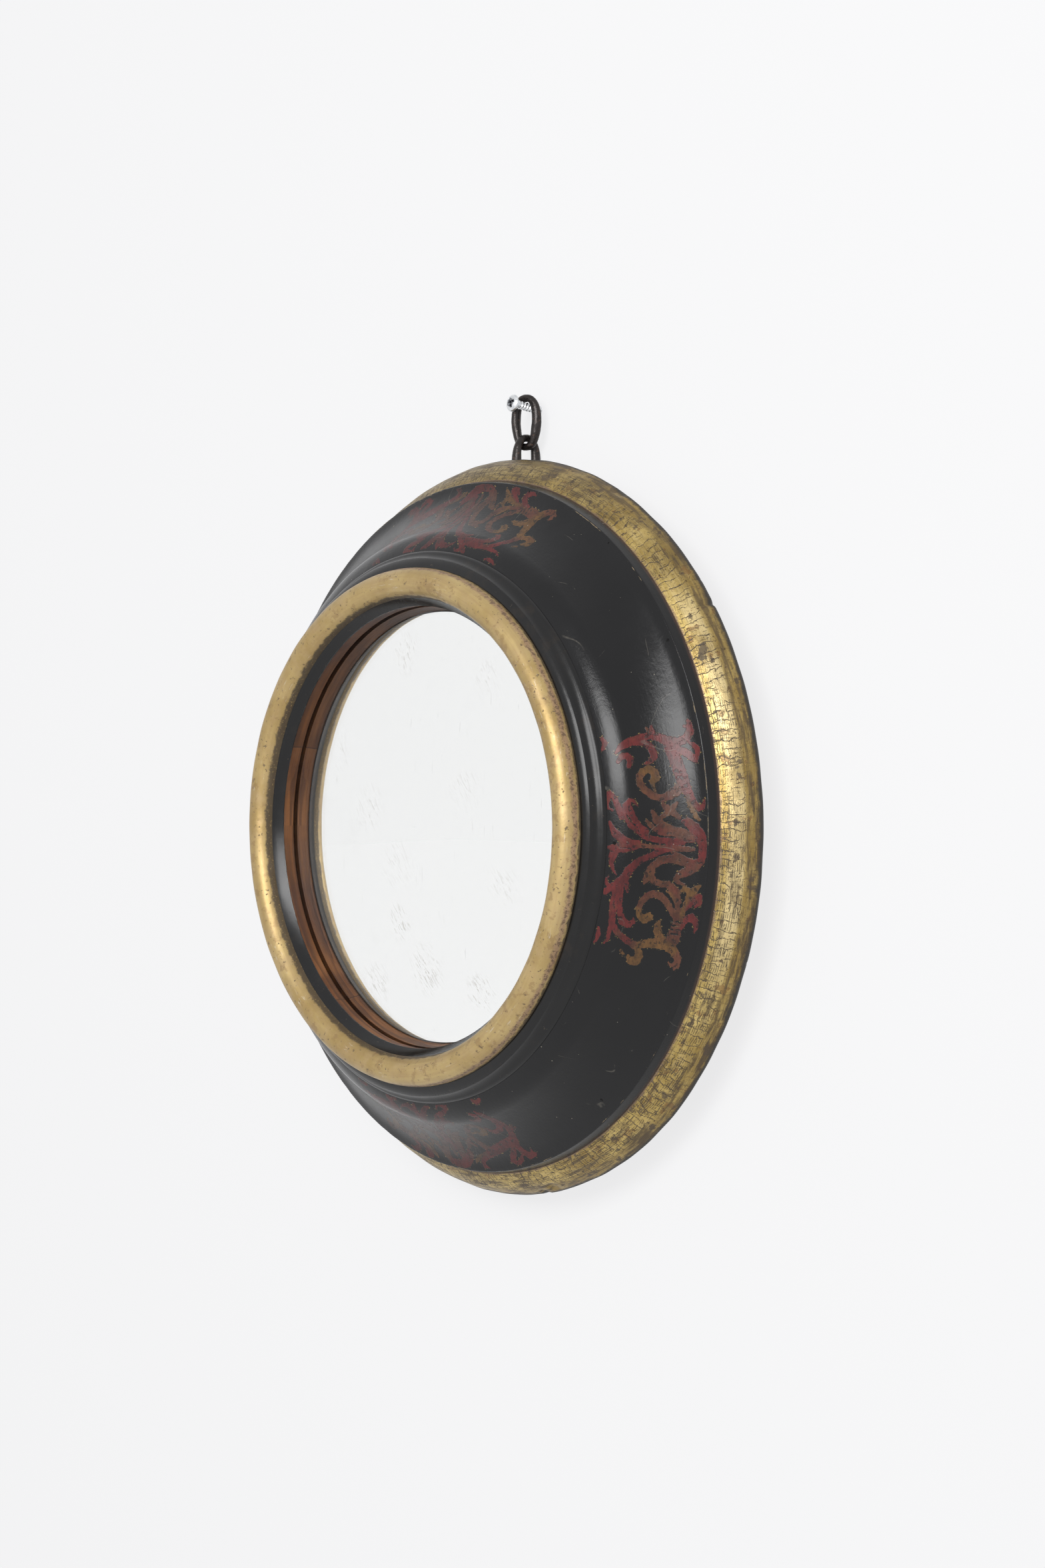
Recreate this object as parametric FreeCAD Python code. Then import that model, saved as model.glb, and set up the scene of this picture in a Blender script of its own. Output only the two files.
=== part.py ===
"""Convex butler's mirror: a turned, gilded and black-lacquered round frame round a domed looking glass,
hung on a wall screw by two chain links.

Frame of the model, in millimetres: +Z up, the wall is the plane y = 0 and the mirror faces -Y.
The origin is the point where the wall screw enters the wall.
The turned rings are drawn as half sections in (radius, height), where height is measured forward from
the frame's back face, and are turned about the mirror's own axis.
"""
import FreeCAD
import Part
import math
import os

Vector = FreeCAD.Vector

# ---- driving dimensions ------------------------------------------------------------------------
STAND_OFF = 20.0                  # wall to the frame's back face, filled by the battens
HANG_DROP = 230.0                 # screw axis at the upper link down to the mirror's centre

# turned face, from the outside in: creases and curve ends as (radius, height)
BACK_EDGE = (198.0, 0.0)
RIM_WIDEST = (200.0, 3.0)
RIM_INNER = (187.1, 19.9)         # gilding ends, black fillet begins
FILLET_TOP = (186.2, 26.7)
HOLLOW_LOW = (178.0, 30.1)
HOLLOW_HIGH = (165.0, 43.0)
SHOULDER_LOW = (159.3, 52.2)
SHOULDER_HIGH = (155.4, 57.0)
TERRACE_INNER = (147.9, 61.2)
OUTER_RIDGE = (146.5, 63.6)
INNER_RIDGE = (143.2, 68.5)
BEAD_FOOT = (138.4, 70.4)
BEAD_MIDDLE = 130.3               # radius of the bead's crown
BEAD_FRONT = 80.4                 # the most forward ring of the whole frame
LIP_HEIGHT = 72.0                 # black lip, where it leaves the bead
SIGHT_EDGE = (118.2, 67.4)

# how the turned face is divided into rings and courses
SEGMENT_COUNT = 6                 # glued segments in each course
RIM_JOINT = 40.0                  # first joint of the rim, in degrees above 3 o'clock
GLUE_LINE = 0.02                  # degrees between neighbouring segments
COURSE_SPLIT = 41.0               # height of the glue line between the two moulding courses
RING_SEAT = 60.0                  # height of the seat that carries the inner rings
STEP_BORE = 137.0                 # step ring's bore, which takes the bead's tenon
LINER_RADIUS = 124.0              # outside of the liner and the sight lip
LINER_BORE = 118.7
LINER_HEIGHT = 66.9
REBATE_RADIUS = 126.0             # bore of the courses, which takes the glass from behind

# domed glass, and the blocks that hold it
GLASS_CURVATURE = 750.0
GLASS_RADIUS = 123.5
GLASS_THICKNESS = 3.0
SILVER_THICKNESS = 0.4
SILVER_MARGIN = 1.0
SEAT_GAP = 0.05
BLOCK_COUNT = 8
BLOCK_LENGTH = 30.0
BLOCK_WIDTH = 13.0
BLOCK_DEPTH = 14.0
BLOCK_CHAMFER = 8.0
SPRIG_RADIUS = 0.9
SPRIG_LENGTH = 27.0

# boards and battens
BOARD_RADIUS = 149.5
BOARD_THICKNESS = 6.0
BOARD_JOINT = 50.0                # joints between the three boards, left and right of the centre
BOARD_GAP = 0.5
BOARD_NAIL_CIRCLE = 141.0
BOARD_NAIL_ANGLES = (12, 32, 82)  # above 3 o'clock, repeated in each quarter
BOARD_NAIL_RADIUS = 1.1
BOARD_NAIL_LENGTH = 15.0
BATTEN_LENGTH = 190.0
BATTEN_WIDTH = 30.0
BATTEN_OFFSET = 120.0             # batten's centre above or below the mirror's centre
BATTEN_BEVEL = 6.0
SCREW_PLACES = ((86.0, 8.0), (76.0, -8.0))  # along the batten and outwards from its centre line
SCREW_RADIUS = 1.9
SCREW_HEAD_RADIUS = 4.0
SCREW_LENGTH = 32.0
SCREW_SUNK = 1.3                  # screw head below the batten's back face
SCREW_SLOT = 0.9
HOLE_CLEARANCE = 0.2

# hanging iron
WIRE = 4.4
LINK_LENGTH = 31.0
LINK_WIDTH = 18.0
LINK_PLAY = 0.3                   # gap at each bearing of the chain
CHAIN_PLANE = -10.0               # y of the chain, halfway between the wall and the frame
STAPLE_SPAN = 15.0
STAPLE_BEND = 4.0
STAPLE_DEPTH = 11.0

# wall screw
TILT = 8.0                        # degrees, head end up
SHANK_RADIUS = 2.1
THREAD_RADIUS = 2.4
THREAD_LENGTH = 22.0
POINT_LENGTH = 5.0
HEAD_DISTANCE = 19.5              # wall to the underside of the head
HEAD_RADIUS = 4.75
HEAD_THICKNESS = 3.2
RECESS_SPAN = 5.2
RECESS_WIDTH = 1.1
RECESS_DEPTH = 2.1
RECESS_TURN = 20.0

# ---- places worked out from them ---------------------------------------------------------------
ORIGIN = Vector(0, 0, 0)
FORWARD = Vector(0, -1, 0)
AXIS = Vector(0, 1, 0)

screw_z = -CHAIN_PLANE * math.tan(math.radians(TILT))
mirror_z = screw_z - HANG_DROP
bend_radius = (LINK_WIDTH - WIRE) / 2
upper_link_top = screw_z + SHANK_RADIUS + LINK_PLAY + WIRE
upper_bearing = upper_link_top - LINK_LENGTH + WIRE / 2
lower_link_top = upper_bearing + WIRE / 2 + LINK_PLAY + WIRE
lower_bearing = lower_link_top - LINK_LENGTH + WIRE / 2
staple_z = lower_bearing + WIRE + LINK_PLAY


def face_y(height):
    """The y of the plane that lies this far forward of the frame's back face."""
    return -(STAND_OFF + height)


def radial(point):
    """A (radius, height) point as a place in the half plane where the sections are drawn."""
    return Vector(point[0], face_y(point[1]), 0)


def disc(low, high, radius):
    """Round block about the mirror's axis, between two heights."""
    return Part.makeCylinder(radius, high - low, Vector(0, face_y(low), 0), FORWARD)


def around(shape, angles):
    """Copies of a shape turned about the mirror's axis, in degrees above 3 o'clock."""
    copies = []
    for angle in angles:
        copy = shape.copy()
        copy.rotate(ORIGIN, AXIS, -angle)
        copies.append(copy)
    return copies


def cylinder_and_point(radius, length, point_length, start, direction, blunt=0.2):
    """Shank of a nail or screw, with a cone for its point."""
    straight = length - point_length
    base = start + Vector(direction).multiply(straight)
    shank = Part.makeCylinder(radius, straight, start, direction)
    return shank.fuse(Part.makeCone(radius, radius * blunt, point_length, base, direction))


# ---- turned rings ------------------------------------------------------------------------------
class Section:
    """Half section of a turned ring, drawn edge by edge through (radius, height) points."""

    def __init__(self, start):
        self.start = self.point = start
        self.heading = 0.0
        self.edges = []

    def line(self, *points):
        for point in points:
            self.edges.append(Part.makeLine(radial(self.point), radial(point)))
            self.point = point
        return self

    def arc(self, *ends, leaving):
        """Circular arcs smooth with each other; the first leaves in the given direction, in degrees."""
        self.heading = math.radians(leaving)
        for end in ends:
            across = end[0] - self.point[0]
            rise = end[1] - self.point[1]
            chord = math.atan2(rise, across)
            half_turn = (chord - self.heading + math.pi) % (2 * math.pi) - math.pi
            bow = math.hypot(across, rise) / 2 * math.tan(half_turn / 2)
            middle = (
                self.point[0] + across / 2 + bow * math.sin(chord),
                self.point[1] + rise / 2 - bow * math.cos(chord))
            self.edges.append(Part.Arc(radial(self.point), radial(middle), radial(end)).toShape())
            self.heading = chord + half_turn
            self.point = end
        return self

    def edge(self, edge, end):
        self.edges.append(edge)
        self.point = end
        return self

    def turned(self, first=0.0, sweep=360.0):
        """Closes the outline and turns it, from an angle above 3 o'clock, about the mirror's axis."""
        self.line(self.start)
        ring = Part.Face(Part.Wire(self.edges)).revolve(ORIGIN, FORWARD, sweep)
        ring.rotate(ORIGIN, FORWARD, first)
        return ring


def rim_section():
    """Gilt rim: nearly straight flank, a small quirk at its widest, and a rebate for the boards."""
    board_rebate = BOARD_RADIUS + BOARD_GAP
    section = Section((board_rebate, 0)).line(BACK_EDGE).arc(RIM_WIDEST, leaving=30).arc(RIM_INNER, leaving=108)
    section.line((REBATE_RADIUS, RIM_INNER[1]), (REBATE_RADIUS, BOARD_THICKNESS))
    return section.line((board_rebate, BOARD_THICKNESS))


def moulding_section():
    """Black moulding: upright fillet, long hollow, tight shoulder and a flat terrace."""
    section = Section((REBATE_RADIUS, RIM_INNER[1])).line(RIM_INNER, FILLET_TOP)
    section.arc(HOLLOW_LOW, HOLLOW_HIGH, SHOULDER_LOW, SHOULDER_HIGH, TERRACE_INNER, leaving=170)
    return section.line((TERRACE_INNER[0], RING_SEAT), (REBATE_RADIUS, RING_SEAT))


def step_section():
    """Double ridge with a cove between, up to the foot of the bead."""
    section = Section((TERRACE_INNER[0], RING_SEAT)).line(TERRACE_INNER)
    section.arc(OUTER_RIDGE, leaving=95).arc(INNER_RIDGE, leaving=155).arc(BEAD_FOOT, leaving=140)
    return section.line((STEP_BORE, BEAD_FOOT[1]), (STEP_BORE, RING_SEAT))


def bead_inner_radius(height):
    """Radius at which the inside of the bead's half ellipse reaches a height."""
    rise = (height - BEAD_FOOT[1]) / (BEAD_FRONT - BEAD_FOOT[1])
    return BEAD_MIDDLE - (BEAD_FOOT[0] - BEAD_MIDDLE) * math.sqrt(1 - rise ** 2)


def bead_section():
    """Gilt bead: half an ellipse that stands on a square tenon."""
    centre = radial((BEAD_MIDDLE, BEAD_FOOT[1]))
    ellipse = Part.Ellipse(radial((BEAD_MIDDLE, BEAD_FRONT)), radial(BEAD_FOOT), centre)
    rise = (LIP_HEIGHT - BEAD_FOOT[1]) / (BEAD_FRONT - BEAD_FOOT[1])
    crown = ellipse.toShape(-math.acos(rise), math.pi / 2)
    section = Section((LINER_RADIUS, LIP_HEIGHT)).line((LINER_RADIUS, RING_SEAT), (STEP_BORE, RING_SEAT))
    section.line((STEP_BORE, BEAD_FOOT[1]), BEAD_FOOT)
    return section.edge(crown, (bead_inner_radius(LIP_HEIGHT), LIP_HEIGHT))


def lip_section():
    """Black sight lip: a narrow hollow bevel down to the sight edge."""
    section = Section((LINER_RADIUS, LINER_HEIGHT)).line((LINER_RADIUS, LIP_HEIGHT))
    section.line((bead_inner_radius(LIP_HEIGHT), LIP_HEIGHT)).arc(SIGHT_EDGE, leaving=235)
    return section.line((SIGHT_EDGE[0], LINER_HEIGHT))


def liner_section():
    """Bare wood liner: its lower edge seats the glass."""
    return Section((LINER_BORE, RING_SEAT)).line(
        (LINER_BORE, LINER_HEIGHT), (LINER_RADIUS, LINER_HEIGHT), (LINER_RADIUS, RING_SEAT))


def segments(name, section, first_joint, low=None, high=None):
    """Named segments of one course, with glue lines that start at a given angle above 3 o'clock."""
    step = 360.0 / SEGMENT_COUNT
    named = {}
    for i in range(SEGMENT_COUNT):
        piece = section().turned(first_joint + i * step, step - GLUE_LINE)
        if low is not None:
            piece = piece.common(disc(low, high, RIM_WIDEST[0]))
        named[f"{name}_{i + 1}"] = piece
    return named


# ---- domed glass and what holds it -------------------------------------------------------------
def sag(curvature, radius):
    """How far a sphere falls back at a distance from its axis."""
    return curvature - math.sqrt(curvature ** 2 - radius ** 2)


def dome(curvature, apex, thickness, radius):
    """Round cap cut from a hollow sphere, with its front at the apex height."""
    centre = radial((0, apex - curvature))
    shell = Part.makeSphere(curvature, centre).cut(Part.makeSphere(curvature - thickness, centre))
    return shell.common(disc(apex - 2 * sag(curvature, radius), apex, radius))


glass_front = RING_SEAT + sag(GLASS_CURVATURE, LINER_BORE) - SEAT_GAP
glass_back = glass_front - GLASS_THICKNESS
back_curvature = GLASS_CURVATURE - GLASS_THICKNESS
block_front = glass_back - sag(back_curvature, GLASS_RADIUS) - SILVER_THICKNESS


def glazing_block():
    """Softwood block with a rounded outer face, glued behind the edge of the glass at 3 o'clock."""
    inner = REBATE_RADIUS - BLOCK_WIDTH
    back = block_front - BLOCK_DEPTH
    section = [
        (inner, block_front), (REBATE_RADIUS, block_front), (REBATE_RADIUS, back),
        (inner + BLOCK_CHAMFER, back), (inner, back + BLOCK_CHAMFER), (inner, block_front)]
    face = Part.Face(Part.makePolygon([radial(point) for point in section]))
    face.translate(Vector(0, 0, -BLOCK_LENGTH / 2))
    bar = face.extrude(Vector(0, 0, BLOCK_LENGTH))
    return bar.common(disc(back, block_front, REBATE_RADIUS - SEAT_GAP))


def glazing_sprig():
    """Headless brad, driven outwards through a block into the course."""
    start = radial((REBATE_RADIUS - BLOCK_WIDTH - 1, block_front - BLOCK_DEPTH / 3))
    return cylinder_and_point(SPRIG_RADIUS, SPRIG_LENGTH, 3 * SPRIG_RADIUS, start, Vector(1, 0, 0))


# ---- boards and battens ------------------------------------------------------------------------
def board(left, right):
    """One plank of the round back, cut to the circle."""
    strip = Part.makeBox(
        right - left, BOARD_THICKNESS, 2 * BOARD_RADIUS,
        Vector(left, face_y(BOARD_THICKNESS), -BOARD_RADIUS))
    return strip.common(disc(0, BOARD_THICKNESS, BOARD_RADIUS))


def board_nail():
    start = radial((BOARD_NAIL_CIRCLE, 0))
    head = Part.makeCylinder(2 * BOARD_NAIL_RADIUS, BOARD_NAIL_RADIUS, start, AXIS)
    shank = cylinder_and_point(BOARD_NAIL_RADIUS, BOARD_NAIL_LENGTH, 3 * BOARD_NAIL_RADIUS, start, FORWARD)
    return head.fuse(shank).removeSplitter()


def quarters(angles):
    """The same angles in all four quarters of the circle."""
    return [turn for angle in angles for turn in (angle, 180 - angle, 180 + angle, 360 - angle)]


def batten_screw(x, z):
    """Countersunk wood screw with a slotted head."""
    head_height = SCREW_HEAD_RADIUS - SCREW_RADIUS
    top = Vector(x, -SCREW_SUNK, z)
    head = Part.makeCone(SCREW_HEAD_RADIUS, SCREW_RADIUS, head_height, top, FORWARD)
    corner = top - Vector(SCREW_HEAD_RADIUS, SCREW_SLOT, SCREW_SLOT / 2)
    slot = Part.makeBox(2 * SCREW_HEAD_RADIUS, SCREW_SLOT, SCREW_SLOT, corner)
    shank = cylinder_and_point(SCREW_RADIUS, SCREW_LENGTH, 2.5 * SCREW_RADIUS, top, FORWARD)
    return head.fuse(shank).removeSplitter().cut(slot)


def screw_places(side):
    """Centres of a batten's four screws; the side is +1 above the mirror's centre and -1 below."""
    return [(end * x, side * (BATTEN_OFFSET + out)) for end in (-1, 1) for x, out in SCREW_PLACES]


def batten(side):
    """Bar across the boards, bevelled at its ends towards the wall and countersunk for its screws."""
    half = BATTEN_LENGTH / 2
    inside = half - BATTEN_BEVEL
    outline = [
        (-half, -STAND_OFF), (half, -STAND_OFF), (half, -BATTEN_BEVEL), (inside, 0),
        (-inside, 0), (-half, -BATTEN_BEVEL), (-half, -STAND_OFF)]
    bottom = side * BATTEN_OFFSET - BATTEN_WIDTH / 2
    face = Part.Face(Part.makePolygon([Vector(x, y, bottom) for x, y in outline]))
    bar = face.extrude(Vector(0, 0, BATTEN_WIDTH))
    hole_radius = SCREW_RADIUS + HOLE_CLEARANCE
    mouth_radius = SCREW_HEAD_RADIUS + HOLE_CLEARANCE
    for x, z in screw_places(side):
        seat = Vector(x, -SCREW_SUNK, z)
        hole = Part.makeCylinder(hole_radius, STAND_OFF, Vector(x, 0, z), FORWARD)
        sink = Part.makeCone(mouth_radius, hole_radius, mouth_radius - hole_radius, seat, FORWARD)
        mouth = Part.makeCylinder(mouth_radius, SCREW_SUNK, seat, AXIS)
        bar = bar.cut(hole.fuse([sink, mouth]))
    return bar


# ---- hanging iron ------------------------------------------------------------------------------
def wire_end(centre, direction):
    """Round section of the wire, facing along a direction."""
    return Part.Face(Part.Wire([Part.makeCircle(WIRE / 2, centre, direction)]))


def link(top, across):
    """Oval link of round wire, hanging from its top with its width along the given direction."""
    straight = Vector(0, 0, LINK_WIDTH - LINK_LENGTH)
    side = Vector(across).multiply(bend_radius)
    upper = Vector(0, CHAIN_PLANE, top - LINK_WIDTH / 2)
    normal = across.cross(Vector(0, 0, 1))
    pieces = [wire_end(upper + offset, straight).extrude(straight) for offset in (side, side * -1)]
    for centre, turn in ((upper, -180), (upper + straight, 180)):
        pieces.append(wire_end(centre - side, straight).revolve(centre, normal, turn))
    return pieces[0].fuse(pieces[1:]).removeSplitter()


def staple():
    """Forged staple: a bar across the chain with two pointed legs driven into the back of the rim."""
    flat = STAPLE_SPAN / 2 - STAPLE_BEND
    centre = Vector(0, CHAIN_PLANE, staple_z)
    leg = CHAIN_PLANE - STAPLE_BEND - face_y(STAPLE_DEPTH)
    pieces = [wire_end(centre - Vector(flat, 0, 0), Vector(1, 0, 0)).extrude(Vector(2 * flat, 0, 0))]
    for side in (-1, 1):
        corner = centre + Vector(side * flat, 0, 0)
        pivot = corner - Vector(0, STAPLE_BEND, 0)
        pieces.append(wire_end(corner, Vector(1, 0, 0)).revolve(pivot, Vector(0, 0, 1), -90 * side))
        leg_start = pivot + Vector(side * STAPLE_BEND, 0, 0)
        pieces.append(cylinder_and_point(WIRE / 2, leg, WIRE, leg_start, FORWARD))
    return pieces[0].fuse(pieces[1:]).removeSplitter()


def wall_screw():
    """Cross-recessed screw with a domed head, drawn level and then tilted about its entry point."""
    thread = cylinder_and_point(THREAD_RADIUS, THREAD_LENGTH + POINT_LENGTH, POINT_LENGTH, ORIGIN, AXIS)
    shank = Part.makeCylinder(SHANK_RADIUS, HEAD_DISTANCE, ORIGIN, FORWARD)
    crown_radius = (HEAD_RADIUS ** 2 + HEAD_THICKNESS ** 2) / (2 * HEAD_THICKNESS)
    front = HEAD_DISTANCE + HEAD_THICKNESS
    ball = Part.makeSphere(crown_radius, FORWARD * (front - crown_radius))
    head = ball.common(Part.makeCylinder(HEAD_RADIUS, HEAD_THICKNESS, FORWARD * HEAD_DISTANCE, FORWARD))
    screw = thread.fuse([shank, head]).removeSplitter()
    corner = Vector(-RECESS_SPAN / 2, -front, -RECESS_WIDTH / 2)
    for turn in (RECESS_TURN, RECESS_TURN + 90):
        recess = Part.makeBox(RECESS_SPAN, RECESS_DEPTH, RECESS_WIDTH, corner)
        recess.rotate(ORIGIN, AXIS, turn)
        screw = screw.cut(recess)
    screw.rotate(ORIGIN, Vector(1, 0, 0), -TILT)
    return screw


# ---- assembly ----------------------------------------------------------------------------------
half_step = 180.0 / SEGMENT_COUNT
block_angles = [(i + 0.5) * 360.0 / BLOCK_COUNT for i in range(BLOCK_COUNT)]
left_edge = -BOARD_JOINT + BOARD_GAP / 2
right_edge = BOARD_JOINT - BOARD_GAP / 2

mirror = {
    **segments("rim_segment", rim_section, RIM_JOINT),
    **segments("rear_moulding_segment", moulding_section, RIM_JOINT + half_step, RIM_INNER[1], COURSE_SPLIT),
    **segments("front_moulding_segment", moulding_section, RIM_JOINT, COURSE_SPLIT, TERRACE_INNER[1]),
    "step_ring": step_section().turned(),
    "gilt_bead": bead_section().turned(),
    "sight_lip": lip_section().turned(),
    "rebate_liner": liner_section().turned(),
    "convex_glass": dome(GLASS_CURVATURE, glass_front, GLASS_THICKNESS, GLASS_RADIUS),
    "mirror_silvering": dome(back_curvature, glass_back, SILVER_THICKNESS, GLASS_RADIUS - SILVER_MARGIN),
    "glazing_blocks": Part.makeCompound(around(glazing_block(), block_angles)),
    "glazing_sprigs": Part.makeCompound(around(glazing_sprig(), block_angles)),
    "back_board_left": board(-BOARD_RADIUS, left_edge - BOARD_GAP),
    "back_board_centre": board(left_edge, right_edge),
    "back_board_right": board(right_edge + BOARD_GAP, BOARD_RADIUS),
    "back_board_nails": Part.makeCompound(around(board_nail(), quarters(BOARD_NAIL_ANGLES))),
    "upper_batten": batten(1),
    "lower_batten": batten(-1),
    "batten_screws": Part.makeCompound(
        [batten_screw(x, z) for side in (1, -1) for x, z in screw_places(side)]),
}
for shape in mirror.values():
    shape.translate(Vector(0, 0, mirror_z))

hanging = {
    "hanging_staple": staple(),
    "lower_link": link(lower_link_top, Vector(0, 1, 0)),
    "upper_link": link(upper_link_top, Vector(1, 0, 0)),
    "wall_screw": wall_screw(),
}

os.makedirs("parts", exist_ok=True)
for name, shape in {**mirror, **hanging}.items():
    shape.exportStep(f"parts/{name}.step")
    print(f"{name:26s} solids {len(shape.Solids):2d}  volume {shape.Volume / 1000:8.3f} cm3  valid {shape.isValid()}")
print(f"mirror centre z {mirror_z:.3f}, screw axis z {screw_z:.3f}, upper bearing z {upper_bearing:.3f}, "
      f"staple z {staple_z:.3f}, glass front height {glass_front:.3f}, blocks up to {block_front:.3f}")
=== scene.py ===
"""Convex butler's mirror: a gilded and black-lacquered round frame round a domed looking glass.

Lengths in each section are millimetres, drawn as (radius, height) half sections, height being measured
forward from the back of the frame. The model is in metres: +Z up, the wall is y = 0, the mirror faces -Y.
Turns are measured above 3 o'clock, anticlockwise as seen from the front.
"""
import math

import bpy
import numpy as np
from mathutils import Matrix, Vector, noise


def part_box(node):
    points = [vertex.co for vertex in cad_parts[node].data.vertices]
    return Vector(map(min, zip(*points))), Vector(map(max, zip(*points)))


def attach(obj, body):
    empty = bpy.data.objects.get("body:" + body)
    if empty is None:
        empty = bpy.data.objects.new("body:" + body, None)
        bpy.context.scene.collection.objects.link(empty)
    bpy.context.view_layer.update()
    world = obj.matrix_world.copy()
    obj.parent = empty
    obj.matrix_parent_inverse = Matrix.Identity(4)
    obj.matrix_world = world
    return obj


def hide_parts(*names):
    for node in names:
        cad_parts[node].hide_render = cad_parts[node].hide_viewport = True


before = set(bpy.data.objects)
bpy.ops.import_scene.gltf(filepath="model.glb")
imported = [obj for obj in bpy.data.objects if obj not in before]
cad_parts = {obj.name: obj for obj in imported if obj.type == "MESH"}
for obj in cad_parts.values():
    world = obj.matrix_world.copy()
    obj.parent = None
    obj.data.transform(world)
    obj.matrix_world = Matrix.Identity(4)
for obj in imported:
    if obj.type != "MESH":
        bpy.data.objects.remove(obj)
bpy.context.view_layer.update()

# ---- Gilt rim ----------------------------------------------------------------------------------
# The outermost ring: six wooden segments glued end to end, turned, coated with gesso and red bole and
# water gilded. The gold has crackled and rubbed; the back was never gilded and shows bare wood.
bead_low, bead_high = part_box("gilt_bead")
mirror_z = (bead_low.z + bead_high.z) / 2
STAND_OFF = 20.0
RIM_JOINTS = [math.radians(40 + 60 * i) for i in range(6)]
RIM_GAUGE = 190.0                 # radius at which the rim's map is true to length
BACK_EDGE = (198.0, 0.0)
RIM_WIDEST = (200.0, 3.0)
RIM_INNER = (187.1, 19.9)         # gilding ends, black fillet begins
BOARD_EDGE = 150.0                # recess for the back boards: radius, and depth below
BOARD_DEPTH = 6.0
REBATE_RADIUS = 126.0


def arc_points(start, ends, leaving, spacing=1.0):
    """Points on arcs that run smoothly into each other; the first leaves start at an angle in degrees."""
    points = [start]
    heading = math.radians(leaving)
    for end in ends:
        x, y = points[-1]
        chord = math.atan2(end[1] - y, end[0] - x)
        length = math.hypot(end[0] - x, end[1] - y)
        half = (chord - heading + math.pi) % (2 * math.pi) - math.pi
        count = max(2, round(length / spacing))
        for i in range(1, count + 1):
            part = i / count
            reach = length * part
            if abs(half) > 1e-5:
                reach = length * math.sin(half * part) / math.sin(half)
            angle = heading + half * part
            points.append((x + reach * math.cos(angle), y + reach * math.sin(angle)))
        heading = chord + half
    return points


def straight_points(corners, spacing=3.0):
    """Points along straight runs between corners, without the first corner."""
    points = []
    for (x0, y0), (x1, y1) in zip(corners, corners[1:]):
        count = max(1, round(math.hypot(x1 - x0, y1 - y0) / spacing))
        points += [(x0 + (x1 - x0) * i / count, y0 + (y1 - y0) * i / count) for i in range(1, count + 1)]
    return points


def wander(turns, waves, size, seed):
    """Slow wander of a hand-worked edge round the ring, in millimetres."""
    dice = np.random.default_rng(seed)
    total = np.zeros_like(turns)
    for wave in waves:
        total += dice.uniform(0.4, 1.0) * np.sin(wave * turns + dice.uniform(0, 2 * math.pi))
    return size * total / len(waves) ** 0.5


def walked_across(outline, first):
    """Millimetres walked round a closed half section to each of its points, and on to the first one again."""
    section = np.array(outline)
    steps = np.hypot(*(np.roll(section, -1, axis=0) - section).T)
    return first + np.concatenate([[0], np.cumsum(steps)])


def new_object(name, points, faces):
    mesh = bpy.data.meshes.new(name)
    mesh.from_pydata(points, [], faces)
    made = bpy.data.objects.new(name, mesh)
    bpy.context.scene.collection.objects.link(made)
    return made


def turned_ring(name, outline, turns, gauge_radius, first_across=0.0, worked=None):
    """Closed half section turned round the mirror's axis.

    The UV map "turned" holds metres along the ring at the gauge radius, and metres across the section.
    worked(radius, height, turn, across) may move the points of the surface before it is made.
    """
    section = np.array(outline)
    across = walked_across(outline, first_across)
    count = len(section)
    columns = len(turns) - 1
    radius = np.repeat(section[:, :1], columns, axis=1)
    height = np.repeat(section[:, 1:], columns, axis=1)
    turn = np.repeat(turns[None, :-1], count, axis=0)
    if worked is not None:
        radius, height = worked(radius, height, turn, np.repeat(across[:-1, None], columns, axis=1))
    places = np.stack([
        radius * np.cos(turn) / 1000,
        -(STAND_OFF + height) / 1000,
        mirror_z + radius * np.sin(turn) / 1000], -1)
    i, j = np.meshgrid(np.arange(count), np.arange(columns), indexing="ij")
    up, on = (i + 1) % count, (j + 1) % columns
    quads = np.stack([
        i * columns + j, i * columns + on, up * columns + on, up * columns + j], -1).reshape(-1, 4)
    along = turns * gauge_radius / 1000
    sheet = across / 1000
    corners = ((0, 0), (1, 0), (1, 1), (0, 1))
    maps = np.stack([np.stack([along[j + b], sheet[i + a]], -1) for b, a in corners], 2).reshape(-1, 4, 2)
    area = np.sum(section[:, 0] * np.roll(section[:, 1], -1) - np.roll(section[:, 0], -1) * section[:, 1])
    if area < 0:
        quads, maps = quads[:, ::-1], maps[:, ::-1]
    ring = new_object(name, places.reshape(-1, 3).tolist(), quads.tolist())
    ring.data.uv_layers.new(name="turned").data.foreach_set("uv", maps.astype(np.float32).ravel())
    ring.data.shade_smooth()
    ring.data.set_sharp_from_angle(angle=math.radians(38))
    return ring


def feed(tree, socket, value):
    """Links another node's output to a socket, or sets the socket to a constant."""
    if isinstance(value, bpy.types.NodeSocket):
        tree.links.new(value, socket)
    else:
        socket.default_value = (*value, 1) if socket.type == "RGBA" else value


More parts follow.
